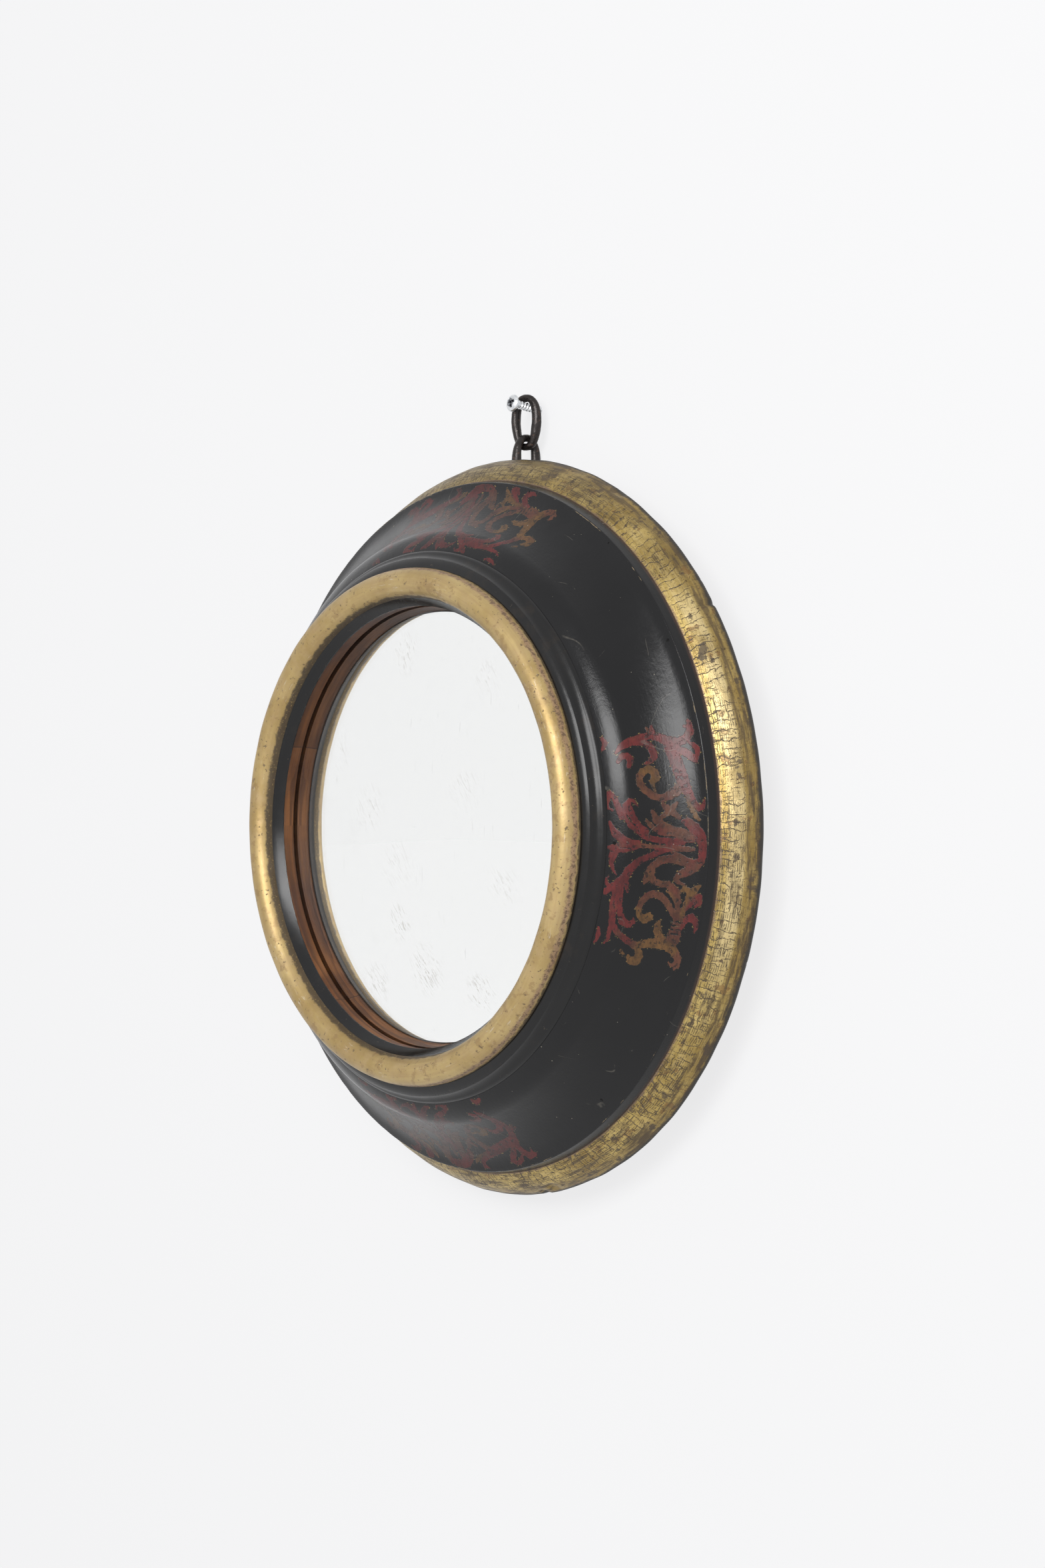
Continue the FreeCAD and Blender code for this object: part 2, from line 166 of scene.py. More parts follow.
class Bench:
    """Lays out the shader nodes of one material or group; each call adds a node and returns its output."""

    def __init__(self, tree):
        self.tree = tree

    def add(self, kind, output, inputs, **settings):
        node = self.tree.nodes.new("ShaderNode" + kind)
        for name, value in settings.items():
            setattr(node, name, value)
        for name, value in inputs.items():
            feed(self.tree, node.inputs[name], value)
        return node.outputs[output]

    def noise(self, place, size, detail=3.0, roughness=0.5):
        """Soft noise whose largest features are this many millimetres across."""
        return self.add("TexNoise", 0, {
            "Vector": place, "Scale": 1000 / size, "Detail": detail, "Roughness": roughness})

    def sum(self, operation, a, b=0.0, c=0.0, clamp=False):
        return self.add("Math", 0, {0: a, 1: b, 2: c}, operation=operation, use_clamp=clamp)

    def times(self, a, b, clamp=False):
        return self.sum("MULTIPLY", a, b, clamp=clamp)

    def plus(self, a, b, clamp=False):
        return self.sum("ADD", a, b, clamp=clamp)

    def minus(self, a, b, clamp=False):
        return self.sum("SUBTRACT", a, b, clamp=clamp)

    def most(self, a, b):
        return self.sum("MAXIMUM", a, b)

    def step(self, value, low, high, start=0.0, end=1.0):
        return self.add(
            "MapRange", 0, {0: value, 1: low, 2: high, 3: start, 4: end}, interpolation_type="SMOOTHSTEP")

    def mix(self, share, a, b, blend="MIX"):
        return self.add("Mix", 2, {0: share, 6: a, 7: b}, data_type="RGBA", blend_type=blend)

    def coat(self, under, mask, share, colour):
        """Lays a colour over another one where the mask is, at a share of its strength."""
        return self.mix(self.times(mask, share), under, colour)

    def vector(self, operation, a, b=(0, 0, 0)):
        return self.add("VectorMath", 0, {0: a, 1: b}, operation=operation)

    def stretch(self, place, x=1, y=1, z=1):
        """Scales a place, so that a texture drawn in it grows long where a factor is small."""
        return self.vector("MULTIPLY", place, (x, y, z))

    def split(self, vector):
        return tuple(self.add("SeparateXYZ", 0, {0: vector}).node.outputs)

    def use(self, group, **inputs):
        node = self.tree.nodes.new("ShaderNodeGroup")
        node.node_tree = group
        for name, value in inputs.items():
            feed(self.tree, node.inputs[name.capitalize()], value)
        return node.outputs

    def bump(self, height, depth, normal=None):
        inputs = {"Height": height, "Distance": depth / 1000, "Strength": 1.0}
        if normal is not None:
            inputs["Normal"] = normal
        return self.add("Bump", 0, inputs)


def effect(name, inputs, outputs):
    """New shader node group; returns it, its bench, its inputs and its output node.

    The sockets are named in two strings of words. Place and Centre are vectors, the others are floats.
    """
    group = bpy.data.node_groups.new(name, "ShaderNodeTree")
    for names, way in ((inputs, "INPUT"), (outputs, "OUTPUT")):
        for socket in names.split():
            kind = "Vector" if socket in ("Place", "Centre") else "Float"
            group.interface.new_socket(socket, in_out=way, socket_type="NodeSocket" + kind)
    given = group.nodes.new("NodeGroupInput").outputs
    return group, Bench(group), given, group.nodes.new("NodeGroupOutput")


def finish_material(name, build):
    """New material; build(bench) returns the Principled BSDF's inputs."""
    material = bpy.data.materials.new(name)
    material.use_nodes = True
    tree = material.node_tree
    for socket, value in build(Bench(tree)).items():
        feed(tree, tree.nodes["Principled BSDF"].inputs[socket], value)
    return material


def own_place(bench):
    return bench.add("TexCoord", "Object", {})


def both_places(bench):
    """(metres along the ring, metres across it) on a turned ring, and the place in the model."""
    return bench.add("UVMap", 0, {}, uv_map="turned"), own_place(bench)


# worn patches: a mask of ragged spots of a given size
worn_patches, bench, given, end = effect("Worn patches", "Place Size Amount", "Mask")
frequency = bench.sum("DIVIDE", 1000.0, given["Size"])
large = bench.add("TexNoise", 0, {
    "Vector": given["Place"], "Scale": frequency, "Detail": 6.0, "Roughness": 0.62})
limit = bench.minus(0.86, bench.times(given["Amount"], 0.5))
worn = bench.step(bench.minus(large, limit), -0.015, 0.025)
bench.tree.links.new(worn, end.inputs["Mask"])


def patches(bench, place, size, amount):
    """Mask of worn patches: how large they are in millimetres, and how much they cover, up to 1."""
    return bench.use(worn_patches, place=place, size=size, amount=amount)["Mask"]


# crack lines: wavering cracks square to one way over the surface, broken where a patch has stayed whole
crack_lines, bench, given, end = effect("Crack lines", "Place Way Spacing Width Run Breaks", "Cracks")
sway = bench.add("TexNoise", 0, {"Vector": given["Place"], "Scale": 95.0, "Detail": 4.0, "Roughness": 0.62})
lines = bench.sum("DIVIDE", bench.times(given["Way"], 1000.0), given["Spacing"])
lines = bench.plus(lines, bench.times(sway, 2.2))
gap = bench.times(bench.sum("PINGPONG", lines, 0.5), given["Spacing"])
line = bench.step(gap, given["Width"], bench.times(given["Width"], 0.35))
whole = bench.add("TexNoise", 0, {
    "Vector": given["Place"], "Scale": bench.sum("DIVIDE", 1000.0, given["Run"]), "Detail": 4.0,
    "Roughness": 0.6})
kept = bench.step(whole, bench.minus(given["Breaks"], 0.03), bench.plus(given["Breaks"], 0.05))
bench.tree.links.new(bench.times(line, kept), end.inputs["Cracks"])


def crack_mask(bench, place, way, spacing, width, run, breaks):
    """Mask of cracks: sizes in millimetres, breaks being the share of them that is missing."""
    return bench.use(
        crack_lines, place=place, way=way, spacing=spacing, width=width, run=run, breaks=breaks)["Cracks"]


# wood grain: tone and pore height of plain timber, drawn along the first axis of the place given
wood_grain, bench, given, end = effect("Wood grain", "Place Spacing", "Tone Pores")
drawn = bench.stretch(given["Place"], 0.10)
swirl = bench.add("TexNoise", 0, {"Vector": drawn, "Scale": 26.0, "Detail": 4.0, "Roughness": 0.55})
_, ring_y, ring_z = bench.split(drawn)
rings = bench.plus(bench.times(ring_y, 0.5), ring_z)
rings = bench.sum("DIVIDE", bench.times(rings, 1000.0), given["Spacing"])
rings = bench.sum("FRACT", bench.plus(rings, bench.times(swirl, 9.0)))
late = bench.times(bench.step(rings, 0.25, 0.92), bench.step(rings, 1.0, 0.93))
fibre = bench.add("TexNoise", 0, {
    "Vector": bench.stretch(given["Place"], 0.035), "Scale": 1300.0, "Detail": 5.0, "Roughness": 0.7})
tone = bench.minus(bench.sum("MULTIPLY_ADD", fibre, 1.5, 0.02), bench.times(late, 0.62), clamp=True)
bench.tree.links.new(tone, end.inputs["Tone"])
pores = bench.step(fibre, 0.36, 0.50)
bench.tree.links.new(pores, end.inputs["Pores"])


def bare_wood_colour(bench, place, turned):
    """Unpainted wood of the segments, darkened by age, with grain that follows each segment."""
    along, _, _ = bench.split(turned)
    from_joint = bench.minus(along, RIM_JOINTS[0] * RIM_GAUGE / 1000)
    segment_length = math.pi / 3 * RIM_GAUGE / 1000
    piece = bench.sum("FLOOR", bench.sum("DIVIDE", from_joint, segment_length))
    shifted = bench.vector("ADD", turned, bench.add("CombineXYZ", 0, {
        0: bench.times(piece, 0.31), 1: bench.times(piece, 0.017)}))
    grain = bench.use(wood_grain, place=shifted, spacing=6.0)
    tone = bench.mix(grain["Tone"], (0.080, 0.038, 0.017), (0.250, 0.130, 0.056))
    stain = bench.noise(place, 45, 5, 0.65)
    aged = bench.mix(bench.step(stain, 0.38, 0.68), tone, bench.mix(1.0, tone, (0.5, 0.42, 0.36), "MULTIPLY"))
    lap = bench.sum("PINGPONG", from_joint, segment_length / 2)
    seam = bench.step(lap, 0.0004, 0.0001)
    return bench.coat(aged, seam, 0.85, (0.018, 0.010, 0.006)), grain


def rim_gilding(bench):
    turned, place = both_places(bench)
    along, across, _ = bench.split(turned)
    side, _, level = bench.split(place)
    leaf_tone = bench.noise(place, 26, 6, 0.65)
    gold = bench.mix(bench.step(leaf_tone, 0.32, 0.68), (0.285, 0.188, 0.045), (0.53, 0.388, 0.128))
    brushed = bench.noise(bench.stretch(turned, 0.10), 1.5, 4, 0.6)
    gold = bench.mix(bench.step(brushed, 0.42, 0.72, 0.0, 0.45), gold, (0.62, 0.48, 0.22))
    dull = bench.step(bench.noise(place, 6, 6, 0.7), 0.45, 0.75, 0.0, 0.5)
    gold = bench.mix(dull, gold, (0.22, 0.140, 0.038))
    # the crown of the roll carries a painted highlight, pale on the right side where the lamp falls; beyond
    # it the gold is olive and handled
    crown_highlight = bench.times(bench.step(across, 0.0030, 0.0065), bench.step(across, 0.0145, 0.0120))
    height = bench.minus(level, mirror_z)
    lamp_side = bench.step(bench.plus(side, bench.times(leaf_tone, 0.06)), 0.172, 0.208, 0.10, 1.0)
    lamp_side = bench.times(lamp_side, bench.step(height, -0.095, -0.045, 0.15, 1.0))
    crown_highlight = bench.times(crown_highlight, lamp_side)
    gold = bench.coat(gold, crown_highlight, bench.step(leaf_tone, 0.30, 0.60, 0.28, 0.60), (0.74, 0.60, 0.33))
    outer = bench.step(across, 0.0125, 0.0150)
    streaks = bench.noise(bench.stretch(turned, 0.14), 3.0, 5, 0.65)
    gold = bench.coat(gold, outer, 0.45, (0.26, 0.175, 0.058))
    handled = bench.times(outer, bench.step(streaks, 0.42, 0.60))
    # cracks: long ones across the ring, short ones along it, close together low on the right and at the top
    low_right = bench.plus(bench.times(level, -1.6), bench.times(side, 0.9))
    dense = bench.step(bench.plus(low_right, bench.noise(place, 42, 4, 0.6)), 0.82, 1.16)
    high = bench.step(bench.plus(bench.times(level, 2.6), bench.noise(place, 30, 4, 0.6)), 0.16, 0.42)
    worked = bench.most(dense, high)
    elsewhere = bench.vector("ADD", place, (0.4, 0.2, 0.1))
    rows = crack_mask(bench, place, along, 4.6, 0.38, 10.0, 0.43)
    twigs = crack_mask(bench, elsewhere, along, 2.1, 0.26, 4.0, 0.53)
    hoops = crack_mask(bench, elsewhere, across, 2.6, 0.34, 6.0, 0.53)
    hairs = crack_mask(bench, place, across, 1.1, 0.20, 3.0, 0.50)
    cracks = bench.most(rows, bench.times(twigs, 0.8))
    cracks = bench.most(cracks, bench.times(hoops, bench.step(worked, 0.0, 1.0, 0.45, 1.0)))
    cracks = bench.most(cracks, bench.times(hairs, bench.step(worked, 0.0, 1.0, 0.25, 1.0)))
    cracks = bench.times(cracks, bench.step(outer, 0.0, 1.0, 1.0, 0.35))
    # rubbed places show the red bole, deeper ones the dark ground
    bole = patches(bench, place, 8.0, 0.50)
    ground = patches(bench, elsewhere, 9.0, 0.50)
    freckles = patches(bench, place, 2.0, 0.47)
    smear = bench.times(worked, bench.step(streaks, 0.46, 0.66))
    gold = bench.coat(gold, bole, 0.55, (0.19, 0.085, 0.030))
    gold = bench.coat(gold, handled, 0.75, (0.075, 0.048, 0.022))
    gold = bench.coat(gold, smear, 0.82, (0.070, 0.042, 0.018))
    # painted shade: the top of the rim is darkened; the same mask also packs the cracks closer there
    gold = bench.coat(gold, high, 0.42, (0.080, 0.056, 0.022))
    gold = bench.coat(gold, ground, 0.8, (0.070, 0.045, 0.022))
    gold = bench.coat(gold, freckles, 0.75, (0.075, 0.045, 0.018))
    gold = bench.coat(gold, cracks, 0.90, (0.040, 0.024, 0.011))
    # wear at the two edges: grey-pink gesso along the inner edge, dark handled wood at the back edge
    ragged = bench.times(bench.minus(bench.noise(place, 7, 5, 0.7), 0.5), 0.0046)
    edge = bench.plus(across, ragged)
    pale = bench.step(edge, 0.0015, 0.0003)
    gold = bench.coat(gold, pale, 0.7, (0.22, 0.145, 0.100))
    grime = bench.step(bench.sum("ABSOLUTE", across), 0.0007, 0.0002)
    gold = bench.coat(gold, grime, 0.8, (0.040, 0.024, 0.018))
    dark = bench.step(edge, 0.0190, 0.0214)
    gold = bench.mix(dark, gold, (0.030, 0.024, 0.018))
    bare = bench.step(edge, 0.0262, 0.0275)
    wood, grain = bare_wood_colour(bench, place, turned)
    colour = bench.mix(bare, gold, wood)
    covered = bench.most(bench.most(dark, bare), bench.most(ground, cracks))
    covered = bench.most(covered, bench.times(bench.most(handled, smear), 0.7))
    metal = bench.times(bench.minus(1.0, covered), 0.62, clamp=True)
    rough = bench.plus(bench.sum("MULTIPLY_ADD", leaf_tone, 0.18, 0.26), bench.times(covered, 0.2))
    hollows = bench.bump(bench.noise(place, 11, 3, 0.5), 0.40)
    pitted = bench.bump(bench.noise(place, 2.4, 4, 0.6), 0.11, hollows)
    normal = bench.bump(bench.minus(1.0, bench.most(cracks, bole)), 0.09, pitted)
    return {"Base Color": colour, "Metallic": metal, "Roughness": rough, "Normal": normal}


rim_front = arc_points(BACK_EDGE, [RIM_WIDEST], 30, 0.6) + arc_points(RIM_WIDEST, [RIM_INNER], 108, 0.8)[1:]
rim_outline = rim_front[::-1] + straight_points([
    BACK_EDGE, (BOARD_EDGE, 0.0), (BOARD_EDGE, BOARD_DEPTH), (REBATE_RADIUS, BOARD_DEPTH),
    (REBATE_RADIUS, RIM_INNER[1]), RIM_INNER], 6.0)[:-1]
rim_turns = np.linspace(-math.pi, math.pi, 1081)
CHIP_GAUGE = 195.0
RIM_CHIPS = [  # turn in degrees, distance across from the inner edge, length along, width, depth
    (35.5, 21.0, 1.6, 5.0, 1.3), (-76.8, 16.0, 3.2, 3.0, 1.3), (-80.0, 19.5, 2.4, 2.5, 1.0),
    (62.0, 20.0, 4.0, 2.6, 0.7), (-28.0, 20.5, 5.0, 2.4, 0.7), (-47.0, 19.0, 3.0, 2.2, 0.6),
    (128.0, 20.0, 4.5, 2.5, 0.8), (176.0, 20.0, 3.5, 2.5, 0.7), (-141.0, 19.5, 4.0, 2.5, 0.8)]


def rim_working(radius, height, turn, across):
    """Hand finish of the rim: edges that wander, opened segment joints, and chips."""
    front = np.clip(1 - np.maximum(across - 24.0, 0) / 6.0, 0, 1) * (across < 60)
    outer = np.clip(across / 20.0, 0, 1) * front
    radius = radius + outer * wander(turn, (5, 9, 14, 23, 37, 61), 0.22, 3)
    height = height + front * np.clip(across / 6.0, 0, 1) * wander(turn, (3, 7, 12, 19, 31), 0.12, 8)
    for joint in RIM_JOINTS:
        gap = np.abs((turn - joint + math.pi) % (2 * math.pi) - math.pi) * RIM_GAUGE
        radius = radius - 0.22 * outer * np.exp(-(gap / 0.8) ** 2)
    for degrees, place, length, width, depth in RIM_CHIPS:
        gap = ((turn - math.radians(degrees) + math.pi) % (2 * math.pi) - math.pi) * CHIP_GAUGE
        radius = radius - depth * front * np.exp(-(gap / length) ** 4 - ((across - place) / width) ** 4)
    return radius, height


gilt_rim = turned_ring("gilt_rim", rim_outline, rim_turns, RIM_GAUGE, 0.0, rim_working)
gilt_rim.data.materials.append(finish_material("Crackled gilding", rim_gilding))
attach(gilt_rim, "frame")
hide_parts(*[f"rim_segment_{i}" for i in range(1, 7)])

# ---- Lacquered moulding ------------------------------------------------------------------------
# The wide reverse ogee: two courses of glued segments turned as one, finished in black lacquer with a
# leaf scroll painted at each quarter in red and ochre. Its outer edge stands over the rim as a fillet.
FILLET_TOP = (186.2, 26.7)
TERRACE_INNER = (147.9, 61.2)
RING_SEAT = 60.0                  # height of the seat that carries the inner rings
MOULDING_GAUGE = 168.0
SCROLL_REACH = (-74.0, 58.0)      # how far each scroll reaches along the ring from its quarter

# one painted scroll: strokes of (along, across, half width); across runs inwards from the fillet edge
RED, BROWN, OCHRE = 0.0, 0.5, 1.0
SCROLL = [
    # top leaf with its curl, and the hooks to the right of it
    (RED, [(42, 45, .7), (45, 41.5, 1.8), (47, 36.5, 2.3), (48, 31.5, 2.2), (48.5, 27, 1.8),
           (50.5, 24.6, 1.6), (53.5, 24.4, .6)]),
    (BROWN, [(50, 26, 1.2), (53, 27, .5)]),
    (RED, [(46.5, 36, 1.5), (45.5, 30, 1.8), (43.5, 27.3, 2), (40.5, 26, 2), (37.5, 25.8, 1.9),
           (35, 28, 1.2), (34, 31.5, .4)]),
    (RED, [(48, 25, 1.8), (47, 22, 2), (44.5, 18, 2.6), (42.5, 13, 2.2), (43.5, 8.5, 2.2), (46.5, 5.5, 2.2),
           (50, 5, 1.4), (52, 5.6, .6)]),
    (RED, [(49, 5.5, 1), (49.8, 8.5, .5)]),
    (RED, [(41, 17, 2), (40, 14.5, 1.8), (37, 9.5, 1.9), (34, 6.5, 1.8), (31.8, 4.5, .7)]),
    (RED, [(33, 5, 1.4), (35, 3.2, 1.3), (37.5, 3.2, 1.5), (40, 5, 1.2), (41.3, 7, .5)]),
    (RED, [(37, 44.5, 1), (39.8, 42, 1.6), (39.5, 39.5, 1.7), (37, 38, 1.8), (34.5, 38.7, 1.3),
           (33, 40.3, .5)]),
    # upper volute and its stem
    (OCHRE, [(19, 27, .4), (24.6, 28.4, 1.3), (26, 26.2, 2.1), (29, 26.3, 2.1), (31.3, 29, 1.9),
           (30.5, 32.3, 1.9)]),
    (BROWN, [(30.5, 32.3, 1.9), (27.5, 34.5, 1.8), (24.3, 34.6, 1.8), (20.5, 32.4, 1.9), (17.5, 28.5, 1.9),
           (15.3, 23.8, 1.7), (17, 20, 2.3), (19, 16, 2.6), (21, 14, 2.6)]),
    # right leaf down to the fillet edge
    (RED, [(43, 18, 2.4), (38, 16.5, 3), (33, 15, 3.2), (27, 13.5, 3.2), (21.5, 12, 3), (16.5, 10, 2.2),
           (12, 7.8, 1.8), (9.5, 5.3, 1.4), (10.5, 3, 1.3), (13.5, 1.8, .5)]),
    (OCHRE, [(16, 10.5, 1.6), (12.5, 10, 1.3), (9, 8.6, 1.4), (6, 6.8, 1.3), (4.3, 5, .5)]),
    # blossom
    (BROWN, [(12.3, 23.5, 1), (9.4, 20, 2), (5.8, 15.6, 1)]),
    (BROWN, [(6.3, 24.2, 1), (9.4, 20, 1.8), (12.8, 16.7, 1)]),
    # flame leaf
    (RED, [(-1.5, 33, 2.2), (0, 36, 2.6), (3.5, 39.3, 3.2), (8.3, 41.3, 3), (12.2, 42, 2.4),
           (15.5, 40.7, 1)]),
    (RED, [(15.7, 40.5, .9), (15, 38.3, .9), (12.3, 36.6, .4)]),
    (RED, [(8, 43, 2), (12, 45.5, .6)]),
    (RED, [(21, 50, .7), (17, 48, 1.4), (12, 46.5, 1.7), (7, 44.5, 2)]),
    # tips on the shoulder
    (RED, [(52, 50.5, 1.1), (48.5, 49.5, 1.6), (46, 51, 1), (45, 52.5, .5)]),
    (RED, [(21, 51.5, .7), (18, 51, 1.2), (14, 52.4, .8), (11.5, 51.5, .8), (10.5, 49.5, .5)]),
    (RED, [(4, 51.3, .7), (0, 49.8, 1.6), (-3, 47.5, 2.2), (-6, 44, 2.4), (-7.5, 40, 2), (-7.5, 36, 1.6)]),
    (RED, [(-10.3, 52.6, .5), (-10.5, 49, 2.2), (-10, 44, 2.8), (-9.5, 40, 2.4), (-8.5, 36, 1.6)]),
    (RED, [(-12, 48, 2.4), (-15.5, 49.5, 2), (-19.5, 49.8, 1.2), (-23.5, 48.2, .7), (-25.5, 46.5, .3)]),
    # central palmette: ribs that meet at the fillet edge
    (BROWN, [(9.5, 29, .7), (5, 27.3, 1.9), (1.5, 24, 2.5), (-1, 19.5, 2.8), (-2.5, 14.5, 3),
           (-4, 9, 2.2)]),
    (BROWN, [(4.3, 32, .7), (1.2, 29.5, 1.3), (-1.3, 25.5, 1.6), (-2.2, 21, 1.6)]),
    (RED, [(-2.5, 35, 1.5), (-4.5, 31.5, 1.5), (-6, 25, 1.6), (-6.3, 19, 1.9), (-5.8, 12, 1.8),
           (-5.4, 8, 1)]),
    (BROWN, [(-8.6, 37, 1.5), (-9, 30, 1.1), (-9, 24, 1.3), (-9.3, 18, 1.6), (-9.6, 12, 1.3),
           (-9.4, 8, 1)]),
    (RED, [(4, 14.2, .7), (3.2, 11, 2.2), (0, 7.5, 3), (-3.5, 4.5, 3), (-7, 3.2, 2.6), (-11, 3, 2.3),
           (-14.5, 3.8, 2.3)]),
    (BROWN, [(5.8, 11.7, .4), (2.5, 10, 1)]),
    (BROWN, [(-14.5, 3.8, 2.3), (-18, 7, 2.4), (-20.5, 11, 2.2), (-22.3, 14.5, 1.8), (-24.8, 16, 1.4),
           (-26.3, 14.5, 1), (-26.6, 11.5, .4)]),
    (BROWN, [(-11.7, 19, .8), (-13, 16, 1.4), (-14.8, 12, 1.6)]),
    # S stroke down to the left, with its tips
    (RED, [(-9.5, 20, 1.6), (-11, 24.5, 1.5), (-13.4, 28.7, 1.6), (-15.5, 33.3, 1.7), (-18, 37, 1.9),
           (-22, 40.3, 2.2), (-26.5, 42.3, 2.2), (-30, 41.2, 1.4), (-34, 39.8, .4)]),
    (RED, [(-26, 42.8, 1.8), (-29, 45.5, 1.6), (-32.5, 48.5, 1.8), (-36, 51.4, 1.6)]),
    (RED, [(-27, 50.6, .5), (-28.5, 52, .8), (-31, 51.2, 1.1), (-32.5, 49.5, 1.1)]),
    (RED, [(-29, 44, 1.8), (-34, 46, 1.6), (-40.5, 46, 1.9), (-47, 45.5, 1.8), (-52.5, 44.8, 1.7),
           (-56.8, 41.3, 1.6), (-60, 36, 1.7), (-62, 31.5, 2)]),
    (RED, [(-53, 45, 1.2), (-58, 45.2, 1.2), (-62, 45, .8), (-65, 46.5, .3)]),
    (RED, [(-31, 43.2, 1.1), (-34, 42.9, 1), (-40, 42.8, 1.1), (-46, 42, 1.4), (-50.3, 39.8, 2),
           (-51.5, 36.5, 1.9), (-50, 34.3, 1.3), (-47.8, 34.5, .4)]),
    # middle ring
    (BROWN, [(-28.5, 32, .5), (-27, 31.5, 1.3), (-22.5, 30.5, 1.6), (-19, 28.3, 1.8), (-16, 24.5, 1.9),
           (-14.8, 20, 2), (-15.3, 15, 2.2), (-16.3, 10.5, 2.4), (-17, 7, 2.2)]),
    (BROWN, [(-19.5, 28.5, 1.8), (-24, 29, 1.9), (-27, 27.3, 1.7), (-28, 23.5, 1.6), (-27.8, 19.5, 1.8),
           (-30.5, 16, 2), (-35, 14, 1.9), (-39.5, 13, 1.4), (-44, 12.5, 1.3)]),
    (OCHRE, [(-31.5, 20, .5), (-32.5, 17, 1.2), (-35.5, 14.5, 1.3)]),
    # lower volute
    (BROWN, [(-46, 11.5, 2), (-43.5, 13.2, 1.7), (-41, 16, 1.6), (-37, 19, 1.7), (-34.2, 22.4, 1.8),
           (-33.3, 26.3, 1.8), (-35.2, 29.7, 1.8), (-38.5, 32, 1.6), (-42.2, 33, 1.5)]),
    (OCHRE, [(-42.2, 33, 1.5), (-45.8, 31.7, 1.7), (-47.3, 29, 2.4), (-45.8, 26.8, 2.1), (-44, 26.8, .8)]),
    # vase with its leaves
    (OCHRE, [(-44, 11, 1.3), (-39, 10.3, 1.4), (-34.5, 9, 2), (-30.5, 7, 2), (-27.8, 5, 1.5),
           (-26.2, 3, .6)]),
    (OCHRE, [(-31, 13.3, .6), (-28.8, 11.3, 1.4), (-29.8, 8.5, 1.6)]),
    (RED, [(-38.5, 9, 1), (-35.5, 7.3, 1.5), (-32.5, 5, 2), (-31.5, 2.8, 1.6), (-34, 1.8, 1.2),
           (-36.5, 4.5, .5)]),
    (BROWN, [(-44, 12, 1.8), (-47, 12.3, 2.4), (-50.5, 12.3, 3), (-54, 12.5, 3.4), (-57, 13.5, 3)]),
    (RED, [(-48, 10, 1.2), (-45.5, 9.3, 1.4), (-43.2, 7.8, 1.6), (-41.8, 5.5, 1.9), (-43, 3.2, 1.8),
           (-46, 1.9, 1.2), (-48.8, 2.5, .4)]),
    # broad leaf at the foot
    (OCHRE, [(-62.5, 31, 1.8), (-61.5, 28.5, 2), (-60, 25, 2.2), (-58.5, 20, 2.8), (-58, 15, 3),
           (-60, 11, 2.4)]),
    (BROWN, [(-60, 11, 2.4), (-63, 8, 2), (-66, 7.2, 1.7), (-69, 8.3, .5)]),
    (OCHRE, [(-47, 21.2, .7), (-50, 21.5, 1.9), (-53, 20.8, 2), (-56.5, 18, 2.6)]),
    (BROWN, [(-66, 8, 1.2), (-67.5, 10.5, .9), (-66.5, 12, .4)]),
    (OCHRE, [(-61.5, 31, 1.8), (-64, 28.5, 1.8), (-67.5, 27, 2), (-70.5, 28, 2.4), (-71, 30.5, 2.2),
           (-69, 32.5, 1)]),
    (OCHRE, [(-66.5, 37, .8), (-68, 35.5, .8)]),
    (RED, [(-57, 51.2, .6), (-60.5, 50.5, 1.3), (-64, 50.5, .9), (-66.5, 51.6, .4)])]
# dark veins left open in the paint
VEINS = [
    [(-7.2, 35, .3), (-7.6, 29, .4), (-7.8, 22, .3)], [(-2.6, 30, .3), (-3.8, 24, .5), (-4.2, 18, .3)],
    [(-7.4, 11.5, .9), (-7.6, 8, 1.1)], [(-11.8, 9.5, 1.2), (-12.6, 6.5, 1.3)],
    [(-45.2, 10.6, .35), (-45.8, 13.6, .35)], [(-47.2, 10.4, .35), (-47.8, 13.9, .35)],
    [(-49.3, 10.2, .4), (-49.9, 14.2, .4)], [(-51.5, 10.5, .35), (-52, 14, .35)],
    [(8, 42.5, .25), (4, 40, .3), (1, 37, .25)], [(-10.4, 46, .25), (-10.2, 40, .3)],
    [(27, 30.8, .7), (28.2, 31, .7)], [(-33, 10.8, .5), (-38, 11.8, .6)]]


def stroke_distance(along, across, stroke):
    """Distance in millimetres outside one stroke; negative inside it."""
    nearest = np.full(along.shape, 1e3)
    for (s0, a0, w0), (s1, a1, w1) in zip(stroke, stroke[1:]):
        length = (s1 - s0) ** 2 + (a1 - a0) ** 2
        part = np.clip(((along - s0) * (s1 - s0) + (across - a0) * (a1 - a0)) / length, 0, 1)
        gap = np.hypot(along - s0 - part * (s1 - s0), across - a0 - part * (a1 - a0))
        nearest = np.minimum(nearest, gap - (w0 + part * (w1 - w0)))
    return nearest


def scroll_turns():
    """Columns of the moulding: close together where a scroll is painted, wider between them."""
    turns = []
    for quarter in range(4):
        middle = -math.pi / 2 + quarter * math.pi / 2
        low, high = (middle + reach / MOULDING_GAUGE for reach in SCROLL_REACH)
        turns += list(np.linspace(low, high, 231))
        turns += list(np.linspace(high, low + math.pi / 2, 90))[1:-1]
    turns = np.sort((np.array(turns) + math.pi) % (2 * math.pi) - math.pi)
    return np.concatenate([turns, [turns[0] + 2 * math.pi]])


def moulding_working(radius, height, turn, across):
    """The hollow and the shoulder wander a little, as hand-held turning leaves them."""
    face = np.clip(across / 6.0, 0, 1) * np.clip((54.0 - across) / 4.0, 0, 1)
    height = height + face * wander(turn, (4, 7, 11, 18, 29), 0.09, 21)
    radius = radius + face * wander(turn, (3, 5, 13, 22), 0.07, 34)
    edge = np.exp(-(across / 1.2) ** 2)
    radius = radius - edge * np.abs(wander(turn, (17, 41, 67, 97, 131), 0.10, 5))
    return radius, height


